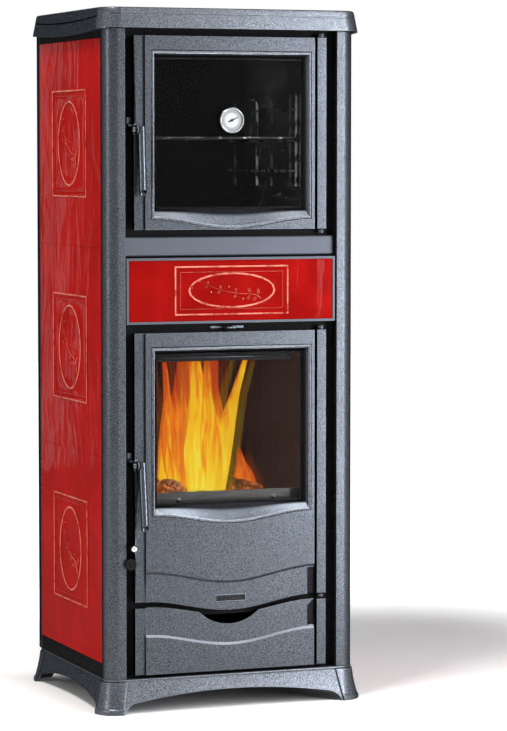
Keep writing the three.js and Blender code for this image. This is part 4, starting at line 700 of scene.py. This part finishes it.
leftTiles = sorted(node for node in nodes if node.startswith("side_tile_left"))
for node in [*leftTiles, *(name.replace("left", "right") for name in leftTiles)]:
    low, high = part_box(node)
    middle = (low + high) / 2
    side = -1 if "left" in node else 1
    vertices, faces = sprig(*sprigLook["sideSize"])
    turned = [
        Vector((side * (tileFaces["side"] + v.z), middle.y + side * v.x, middle.z + v.y))
        for v in vertices
    ]
    addMesh(node.replace("side_tile", "sprig"), turned, faces, sideGlaze, "root", "red_glaze")
low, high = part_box("front_tile")
middle = (low + high) / 2
frontFace = low.y + sprigLook["frontStep"]
vertices, faces = sprig(*sprigLook["frontSize"])
turned = [Vector((middle.x + v.x, frontFace - v.z, middle.z + v.y)) for v in vertices]
addMesh("sprig_front", turned, faces, frontShadedGlaze, "root", "red_glaze")
print("sprigs on the tiles, front face at", round(frontFace, 5))


def boxMesh(low, high):
    x0, y0, z0 = low
    x1, y1, z1 = high
    vertices = [Vector(v) for v in ((x0, y0, z0), (x1, y0, z0), (x1, y1, z0), (x0, y1, z0),
                                    (x0, y0, z1), (x1, y0, z1), (x1, y1, z1), (x0, y1, z1))]
    faces = [(0, 3, 2, 1), (4, 5, 6, 7), (0, 1, 5, 4), (1, 2, 6, 5), (2, 3, 7, 6), (3, 0, 4, 7)]
    return vertices, faces


def turnedPart(x, y, z, profile, around=20):
    # rings of (radius, depth) about an axis that points out of the stove's front
    angles = [2 * math.pi * step / around for step in range(around)]
    return loft([
        [Vector((x + radius * math.cos(a), y + depth, z + radius * math.sin(a))) for a in angles]
        for radius, depth in profile
    ])


# in the profiles and the slot's half length, radii are shares of the head's radius
screws = {
    "guard": (("left", -0.091), ("right", 0.096)), "guardHeight": 0.3815, "guardRadius": 0.0034,
    "plate": (0.2123, 0.8705), "plateRadius": 0.0026,
    "washer": ((1.45, 0.0), (1.45, -0.0006), (1.3, -0.0009)),
    "head": ((1.0, -0.0008), (1.0, -0.0015), (0.8, -0.0026), (0.4, -0.0030)),
    "slotHalfLength": 0.85, "slotHalfWidth": 0.0004, "slotDepth": (-0.0032, -0.0024),
}


def screwHead(x, y, z, radius):
    # a domed head on a thin washer, and a dark bar over its slot, painted shade for the slot's
    # recess
    turned = []
    for name in ("washer", "head"):
        profile = [(radius * share, depth) for share, depth in screws[name]]
        turned.append(turnedPart(x, y, z, profile))
    halfLength, halfWidth = radius * screws["slotHalfLength"], screws["slotHalfWidth"]
    front, back = screws["slotDepth"]
    slotShadeBar = boxMesh((x - halfLength, y + front, z - halfWidth),
                      (x + halfLength, y + back, z + halfWidth))
    return joinParts(turned), slotShadeBar


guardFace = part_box("log_guard")[0].y
for word, x in screws["guard"]:
    head, slotShadeBar = screwHead(x, guardFace, screws["guardHeight"], screws["guardRadius"])
    addMesh(f"guard_screw_{word}", *head, bareSteel, "root", "bare_steel")
    # the dark bar is painted shade in the screw's slot
    addMesh(f"guard_screw_slot_{word}", *slotShadeBar, sheetBlack, "root", "sheet_black", smooth=False)
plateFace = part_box("front_plate")[0].y
x, z = screws["plate"]
head, slotShadeBar = screwHead(x, plateFace, z, screws["plateRadius"])
addMesh("plate_screw", *head, bareSteel, "root", "bare_steel")
print("screws placed")

# a bare plate in a thin rim on the firebox door; "depth" runs from back to front
badge = {
    "x": -0.0025, "z": 0.202, "face": -0.2056,
    "rim": {"half": (0.030, 0.0065), "depth": (0.0, 0.0012), "round": 0.0004,
            "slot": "bare_steel"},
    "plate": {"half": (0.0288, 0.0053), "depth": (0.001, 0.0015), "round": 0.0002,
              "slot": "sheet_black"},
}
for word in ("rim", "plate"):
    part = badge[word]
    halfWidth, halfHeight = part["half"]
    back, front = part["depth"]
    box = boxMesh((badge["x"] - halfWidth, badge["face"] - front, badge["z"] - halfHeight),
                  (badge["x"] + halfWidth, badge["face"] - back, badge["z"] + halfHeight))
    made = addMesh(f"badge_{word}", *box, finishes[part["slot"]], "firebox_door", part["slot"],
                   smooth=False)
    rounding = made.modifiers.new("rounding", "BEVEL")
    rounding.width, rounding.segments, rounding.limit_method = part["round"], 2, "ANGLE"


def dialFace():
    # a pale card with a scale of blocks and a thin line round it; radii are shares of the card's
    look = {
        "plate": (0.37, 0.38, 0.385), "mark": (0.03, 0.03, 0.03),
        "marks": 27, "markShare": 0.24, "scale": (0.66, 0.88), "line": (0.90, 0.95),
    }
    material, tree, shader = newMaterial("dialFace", Roughness=0.35)
    place = split(tree, addNode(tree, "ShaderNodeTexCoord").outputs["UV"])
    angle = math2(tree, "ARCTAN2", place["X"], place["Y"])
    squares = [times(tree, place[axis], place[axis]) for axis in ("X", "Y")]
    reach = math2(tree, "SQRT", math2(tree, "ADD", *squares))
    turns = times(tree, math2(tree, "ADD", angle, math.pi), look["marks"] / (2 * math.pi))
    off = math2(tree, "ABSOLUTE", math2(tree, "SUBTRACT", math2(tree, "FRACT", turns), 0.5))
    tick = math2(tree, "LESS_THAN", off, look["markShare"])
    ticks = times(tree, tick, between(tree, reach, *look["scale"]))
    marked = mixColor(tree, ticks, look["plate"], look["mark"])
    line = between(tree, reach, *look["line"])
    link(tree, mixColor(tree, line, marked, look["mark"]), shader.inputs["Base Color"])
    return material


dialCard = {"radius": 0.0203, "gap": 0.00012, "around": 48}
caseLow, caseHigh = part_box("thermometer_case")
dialCentre = (caseLow + caseHigh) / 2
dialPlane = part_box("thermometer_needle")[1].y + dialCard["gap"]
radius, around = dialCard["radius"], dialCard["around"]
turns = [2 * math.pi * step / around for step in range(around)]
vertices = [
    (dialCentre.x + radius * math.cos(turn), dialPlane, dialCentre.z + radius * math.sin(turn))
    for turn in turns
]
vertices.append((dialCentre.x, dialPlane, dialCentre.z))
faces = [(s, (s + 1) % around, around) for s in range(around)]
dial = addMesh("thermometer_dial", vertices, faces, dialFace(), "oven_door", smooth=False)
flat = dial.data.uv_layers.new(name="flat")
for loop in dial.data.loops:
    point = dial.data.vertices[loop.vertex_index].co
    across, up = point.x - dialCentre.x, point.z - dialCentre.z
    flat.data[loop.index].uv = (across / radius, up / radius)
print("badge and dial placed")


def charredLog():
    look = {
        "bark": (0.030, 0.016, 0.010), "ash": (0.16, 0.13, 0.11),
        "barkStretch": (30.0, 30.0, 60.0), "ashy": (0.5, 0.75), "bump": 0.9, "depth": 0.004,
        "glow": (1.0, 0.24, 0.02), "soot": (0.02, 0.002, 0.0), "coals": 70.0, "crooked": 0.035,
        "drift": 60.0, "cracks": (0.0, 0.30), "patchScale": 22.0, "patches": (0.36, 0.58),
        "fissures": (0.25, 0.6),
    }
    material, tree, shader = newMaterial("charredLog", Roughness=0.9, Emission_Strength=1.0)
    where = objectPlace(tree)
    bark = noiseOf(tree, stretched(tree, where, look["barkStretch"]), 1.0, 5.0, 0.65, 0.8)
    barked = mixColor(tree, ramp(tree, bark, *look["ashy"]), look["bark"], look["ash"])
    link(tree, barked, shader.inputs["Base Color"])
    # embers glow between dark cracks
    crooked = addNode(tree, "ShaderNodeMix", data_type="VECTOR")
    crooked.inputs["Factor"].default_value = look["crooked"]
    drift = addNode(tree, "ShaderNodeTexNoise")
    link(tree, where, drift.inputs["Vector"])
    drift.inputs["Scale"].default_value, drift.inputs["Detail"].default_value = look["drift"], 4.0
    link(tree, where, crooked.inputs["A"])
    link(tree, drift.outputs["Color"], crooked.inputs["B"])
    cracks = addNode(tree, "ShaderNodeTexVoronoi", feature="DISTANCE_TO_EDGE")
    link(tree, crooked.outputs["Result"], cracks.inputs["Vector"])
    cracks.inputs["Scale"].default_value = look["coals"]
    coal = ramp(tree, cracks.outputs["Distance"], *look["cracks"])
    patch = ramp(tree, noiseOf(tree, where, look["patchScale"], 3.0, 0.6), *look["patches"])
    glow = times(tree, times(tree, coal, patch), ramp(tree, bark, *look["fissures"]))
    link(tree, mixColor(tree, glow, look["soot"], look["glow"]), shader.inputs["Emission Color"])
    link(tree, bumpOf(tree, bark, look["bump"], look["depth"]), shader.inputs["Normal"])
    return material


def flameSkin():
    look = {
        "edge": (0.50, 0.040, 0.005), "body": (0.92, 0.20, 0.008), "core": (1.0, 0.58, 0.015),
        "heart": (1.0, 0.80, 0.06),
        "wispStretch": (95.0, 95.0, 8.0), "streaks": 1.7, "cooling": 0.74,
        "warmHeat": (0.02, 0.38), "hotHeat": (0.40, 0.68), "heartHeat": (0.78, 1.05),
        "tipFade": (0.72, 1.0), "footFade": (0.0, 0.06), "thickness": (0.12, 0.62),
    }
    material, tree, shader = newMaterial("flameSkin", Roughness=1.0, Emission_Strength=1.0)
    shader.inputs["Base Color"].default_value = (0.0, 0.0, 0.0, 1.0)
    shader.inputs["Specular IOR Level"].default_value = 0.0
    # U carries how near a point lies to the middle of its tongue, V how far up it lies, and "burn"
    # how hot the tongue is
    where = addNode(tree, "ShaderNodeTexCoord")
    tongue = split(tree, where.outputs["UV"])
    solid, rise = tongue["X"], tongue["Y"]
    burn = split(tree, addNode(tree, "ShaderNodeUVMap", uv_map="burn").outputs["UV"])["X"]
    wispy = stretched(tree, where.outputs["Object"], look["wispStretch"])
    wisps = noiseOf(tree, wispy, 1.0, 4.0, 0.62, 0.9)
    inner = math2(tree, "ADD", burn, times(tree, solid, 0.5))
    streaks = times(tree, math2(tree, "SUBTRACT", wisps, 0.5), look["streaks"])
    streaked = math2(tree, "ADD", inner, streaks)
    heat = math2(tree, "SUBTRACT", streaked, times(tree, rise, look["cooling"]))
    warm = mixColor(tree, ramp(tree, heat, *look["warmHeat"]), look["edge"], look["body"])
    hot = mixColor(tree, ramp(tree, heat, *look["hotHeat"]), warm, look["core"])
    lit = mixColor(tree, ramp(tree, heat, *look["heartHeat"]), hot, look["heart"])
    link(tree, lit, shader.inputs["Emission Color"])
    fade = math2(tree, "SUBTRACT", 1.0, ramp(tree, rise, *look["tipFade"]))
    foot = ramp(tree, rise, *look["footFade"])
    thick = ramp(tree, times(tree, solid, math2(tree, "ADD", wisps, 0.3)), *look["thickness"])
    link(tree, times(tree, times(tree, thick, fade), foot), shader.inputs["Alpha"])
    return material


logLook = {
    "steps": 10, "around": 18, "bulge": 0.05, "bulgeTurn": 1.7, "lump": 0.16, "lumpScale": 26,
    "seedStep": 2.3,
}
# each log: its two ends and its radius
logs = [
    ((-0.135, -0.105, 0.352), (0.105, -0.085, 0.350), 0.036),
    ((-0.120, 0.000, 0.354), (0.120, -0.020, 0.352), 0.038),
    ((-0.130, 0.080, 0.352), (0.110, 0.070, 0.354), 0.035),
    ((-0.084, -0.118, 0.386), (-0.050, 0.095, 0.402), 0.024),
    ((0.092, -0.090, 0.374), (0.040, 0.100, 0.396), 0.023),
]
flameLook = {
    "rows": 26, "around": 16, "ruffle": 0.20, "twist": 0.5,
    "belly": 0.62, "bellyEnd": 0.62, "taper": 2.4, "least": 0.004,
}
# each tongue: foot, tip, half width, half depth, sway, seed and heat
flames = [
    ((-0.004, -0.060, 0.366), (-0.008, -0.050, 0.690), 0.043, 0.022, 0.008, 0.4, 0.62),
    ((0.016, -0.075, 0.366), (0.014, -0.066, 0.690), 0.022, 0.014, 0.006, 1.9, 0.46),
    ((0.030, -0.050, 0.368), (0.100, -0.045, 0.690), 0.020, 0.014, 0.010, 3.1, 0.56),
    ((-0.046, -0.030, 0.378), (-0.062, -0.035, 0.690), 0.034, 0.018, 0.012, 4.4, 0.08),
    ((-0.080, -0.060, 0.372), (-0.098, -0.055, 0.690), 0.016, 0.012, 0.010, 5.2, 0.26),
    ((0.040, -0.020, 0.400), (0.052, -0.015, 0.690), 0.030, 0.016, 0.010, 2.4, 0.10),
    ((0.088, -0.040, 0.372), (0.094, -0.035, 0.470), 0.022, 0.014, 0.008, 0.9, 0.02),
    ((-0.030, -0.010, 0.390), (-0.030, -0.005, 0.690), 0.030, 0.016, 0.012, 3.7, 0.22),
    ((-0.058, -0.085, 0.372), (-0.092, -0.080, 0.560), 0.012, 0.009, 0.008, 2.9, 0.34),
]
logSkin = charredLog()
flameMaterial = flameSkin()


def addLog(name, start, end, radius, seed):
    start, end = Vector(start), Vector(end)
    steps, around = logLook["steps"], logLook["around"]
    points = [start.lerp(end, step / steps) for step in range(steps + 1)]
    bulges = [math.sin(step * logLook["bulgeTurn"] + seed) for step in range(steps + 1)]
    radii = [radius * (1 + logLook["bulge"] * bulge) for bulge in bulges]
    vertices, faces = tubeAlong(points, radii, around)
    rough = []
    for index, vertex in enumerate(vertices):
        centre = points[min(index // around, steps)]
        spot = Vector(vertex) * logLook["lumpScale"] + Vector((seed, 0, 0))
        rough.append(centre + (vertex - centre) * (1 + logLook["lump"] * noise.noise(spot)))
    return addMesh(name, rough, faces, logSkin, "root")


def addFlame(name, foot, tip, width, depth, sway, seed, heat):
    foot, tip = Vector(foot), Vector(tip)
    rows, around, belly = flameLook["rows"], flameLook["around"], flameLook["belly"]
    rings, rises, inward = [], [], []
    for row in range(rows + 1):
        share = row / rows
        bend = math.sin(math.pi * share * 1.25 + seed) - math.sin(seed)
        lean = 0.5 * math.sin(2.1 * share + seed)
        centre = foot.lerp(tip, share) + Vector((sway * bend, sway * lean, 0))
        full = belly + (1 - belly) * math.sin(math.pi * min(share / flameLook["bellyEnd"], 1.0))
        full = full * (1 - share ** flameLook["taper"]) + flameLook["least"]
        twist = flameLook["twist"] * math.sin(seed + share * 2.4)
        ring = []
        for step in range(around):
            angle = 2 * math.pi * step / around + twist
            cosine, sine = math.cos(angle), math.sin(angle)
            spot = Vector((cosine * 1.3, sine * 1.3, share * 3.5 + seed * 7.1))
            reach = full * (1 + flameLook["ruffle"] * noise.noise(spot))
            ring.append(centre + Vector((width * reach * cosine, depth * reach * sine, 0)))
            rises.append(share)
            ahead = width * abs(sine)
            inward.append((ahead / math.hypot(depth * cosine, ahead)) ** 0.64)
        rings.append(ring)
    made = addMesh(name, *loft(rings, capped=False), flameMaterial, "root")
    for layerName in ("rise", "burn"):
        layer = made.data.uv_layers.new(name=layerName)
        for loop in made.data.loops:
            spot = loop.vertex_index
            place = (inward[spot], rises[spot])
            layer.data[loop.index].uv = place if layerName == "rise" else (heat, 0.0)
    return made


for number, (start, end, radius) in enumerate(logs):
    addLog(f"log_{number + 1}", start, end, radius, number * logLook["seedStep"])
for number, tongue in enumerate(flames):
    addFlame(f"flame_{number + 1}", *tongue)
print("fire laid")

# air-wash plate across the top of the fire mouth, with its two lips
airWash = {
    "left": -0.134, "right": 0.126, "low": 0.636, "high": 0.672, "front": -0.1785, "back": -0.1775,
    "lipFace": -0.1790, "lips": (("upper", 0.651, 0.0016), ("lower", 0.643, 0.0010)),
}
plate = boxMesh((airWash["left"], airWash["front"], airWash["low"]),
                (airWash["right"], airWash["back"], airWash["high"]))
addMesh("air_wash_plate", *plate, sheetBlack, "root", "sheet_black", smooth=False)
for word, z, radius in airWash["lips"]:
    ends = [Vector((airWash[end], airWash["lipFace"], z)) for end in ("left", "right")]
    addMesh(f"air_wash_lip_{word}", *tubeAlong(ends, [radius] * 2), bareSteel, "root", "bare_steel")
print("air-wash plate placed")

view = {
    "place": (-1.98634, -5.43045, 1.00783), "yaw": 21.2232, "pitch": 3.8823,
    "lens": 151.145, "sensor": 36, "clip": 100,
}
camera = bpy.data.objects.new("camera", bpy.data.cameras.new("camera"))
bpy.context.scene.collection.objects.link(camera)
camera.location = view["place"]
camera.rotation_euler = (math.radians(90 - view["pitch"]), 0, math.radians(-view["yaw"]))
camera.data.sensor_width = view["sensor"]
camera.data.lens = view["lens"]
camera.data.clip_end = view["clip"]
bpy.context.scene.camera = camera


def whiteRays(tree):
    # camera, mirror and glass rays see the white surroundings; the lighting of rough surfaces
    # leaves them out
    path = addNode(tree, "ShaderNodeLightPath")
    seen = path.outputs["Is Camera Ray"]
    for kind in ("Is Glossy Ray", "Is Transmission Ray"):
        seen = math2(tree, "ADD", seen, path.outputs[kind], clamp=True)
    return seen


floorLook = {
    "reach": 9, "pale": (0.87, 0.85, 0.835), "paler": (0.90, 0.88, 0.865), "mottleScale": 3.0,
    "shadeMiddle": (0.45, 0.30, 0.0), "shadeFade": (0.35, 1.15),
    "stoveHalf": (0.25, 0.22), "contactFade": (-0.06, 0.16),
}


def paleFloor():
    material, tree, shader = newMaterial("paleFloor", Roughness=0.75, Emission_Strength=1.0)
    shader.inputs["Specular IOR Level"].default_value = 0.2
    where = objectPlace(tree)
    mottle = noiseOf(tree, where, floorLook["mottleScale"], 4.0, 0.5)
    color = mixColor(tree, mottle, floorLook["pale"], floorLook["paler"])
    link(tree, color, shader.inputs["Base Color"])
    # the lamps' shadow of the stove stays; the white lift fades out round the stove and the
    # shadow's middle, a painted shade, and further out the floor turns as white as the surroundings
    distance = addNode(tree, "ShaderNodeVectorMath", operation="DISTANCE")
    link(tree, where, distance.inputs[0])
    distance.inputs[1].default_value = floorLook["shadeMiddle"]
    far = ramp(tree, distance.outputs["Value"], *floorLook["shadeFade"])
    place = split(tree, where)
    halfWidth, halfDepth = floorLook["stoveHalf"]
    besideX = math2(tree, "SUBTRACT", math2(tree, "ABSOLUTE", place["X"]), halfWidth)
    besideY = math2(tree, "SUBTRACT", math2(tree, "ABSOLUTE", place["Y"]), halfDepth)
    clear = ramp(tree, math2(tree, "MAXIMUM", besideX, besideY), *floorLook["contactFade"])
    lift = times(tree, times(tree, far, clear), whiteRays(tree))
    glow = mixColor(tree, lift, (0.0, 0.0, 0.0), (1.0, 1.0, 1.0))
    link(tree, glow, shader.inputs["Emission Color"])
    return material


reach = floorLook["reach"]
corners = [(-reach, -reach, 0), (reach, -reach, 0), (reach, reach, 0), (-reach, reach, 0)]
floor = meshObject("floor", corners, [(0, 1, 2, 3)], paleFloor())

surroundings = {"tint": (0.93, 0.96, 1.0), "light": 0.13}
world = bpy.data.worlds.new("world")
bpy.context.scene.world = world
world.use_nodes = True
tree = world.node_tree
tree.nodes.clear()
dim = addNode(tree, "ShaderNodeBackground")
dim.inputs["Color"].default_value = (*surroundings["tint"], 1.0)
dim.inputs["Strength"].default_value = surroundings["light"]
white = addNode(tree, "ShaderNodeBackground")
white.inputs["Color"].default_value = (1.0, 1.0, 1.0, 1.0)
blend = addNode(tree, "ShaderNodeMixShader")
link(tree, whiteRays(tree), blend.inputs[0])
link(tree, dim.outputs[0], blend.inputs[1])
link(tree, white.outputs[0], blend.inputs[2])
link(tree, blend.outputs[0], addNode(tree, "ShaderNodeOutputWorld").inputs[0])

lamps = {
    "rightBox": {"place": (1.03, -1.60, 1.0), "aim": (0.2, -0.2, 0.8), "size": (0.36, 2.0),
                 "power": 60, "color": (0.93, 0.96, 1.0)},
    "frontTop": {"place": (1.05, -1.75, 3.0), "aim": (0.0, -0.2, 0.4), "size": (0.9, 0.25),
                 "power": 14, "color": (0.97, 0.98, 1.0)},
    "leftStrip": {"place": (-1.00, 2.60, 1.30), "aim": (-0.2, 0.0, 0.65), "size": (0.10, 2.4),
                  "power": 3.5, "color": (1.0, 0.99, 0.97)},
    "highLeft": {"place": (-1.7, -1.3, 4.5), "aim": (0.0, 0.0, 0.2), "size": (1.0, 1.0),
                 "power": 165, "color": (1.0, 0.99, 0.98)},
    "sideFill": {"place": (-3.2, -0.9, 1.2), "aim": (-0.2, 0.0, 0.65), "size": (0.4, 1.6),
                 "power": 27, "color": (1.0, 0.99, 0.97)},
}
for name, lamp in lamps.items():
    data = bpy.data.lights.new(name, "AREA")
    data.shape = "RECTANGLE"
    data.size, data.size_y = lamp["size"]
    data.energy = lamp["power"]
    data.color = lamp["color"]
    made = bpy.data.objects.new(name, data)
    made.visible_camera = False
    made.location = lamp["place"]
    direction = Vector(lamp["aim"]) - Vector(lamp["place"])
    made.rotation_euler = direction.to_track_quat("-Z", "Y").to_euler()
    bpy.context.scene.collection.objects.link(made)
print("camera, floor and lamps placed")

bpy.context.scene.view_settings.view_transform = "Standard"
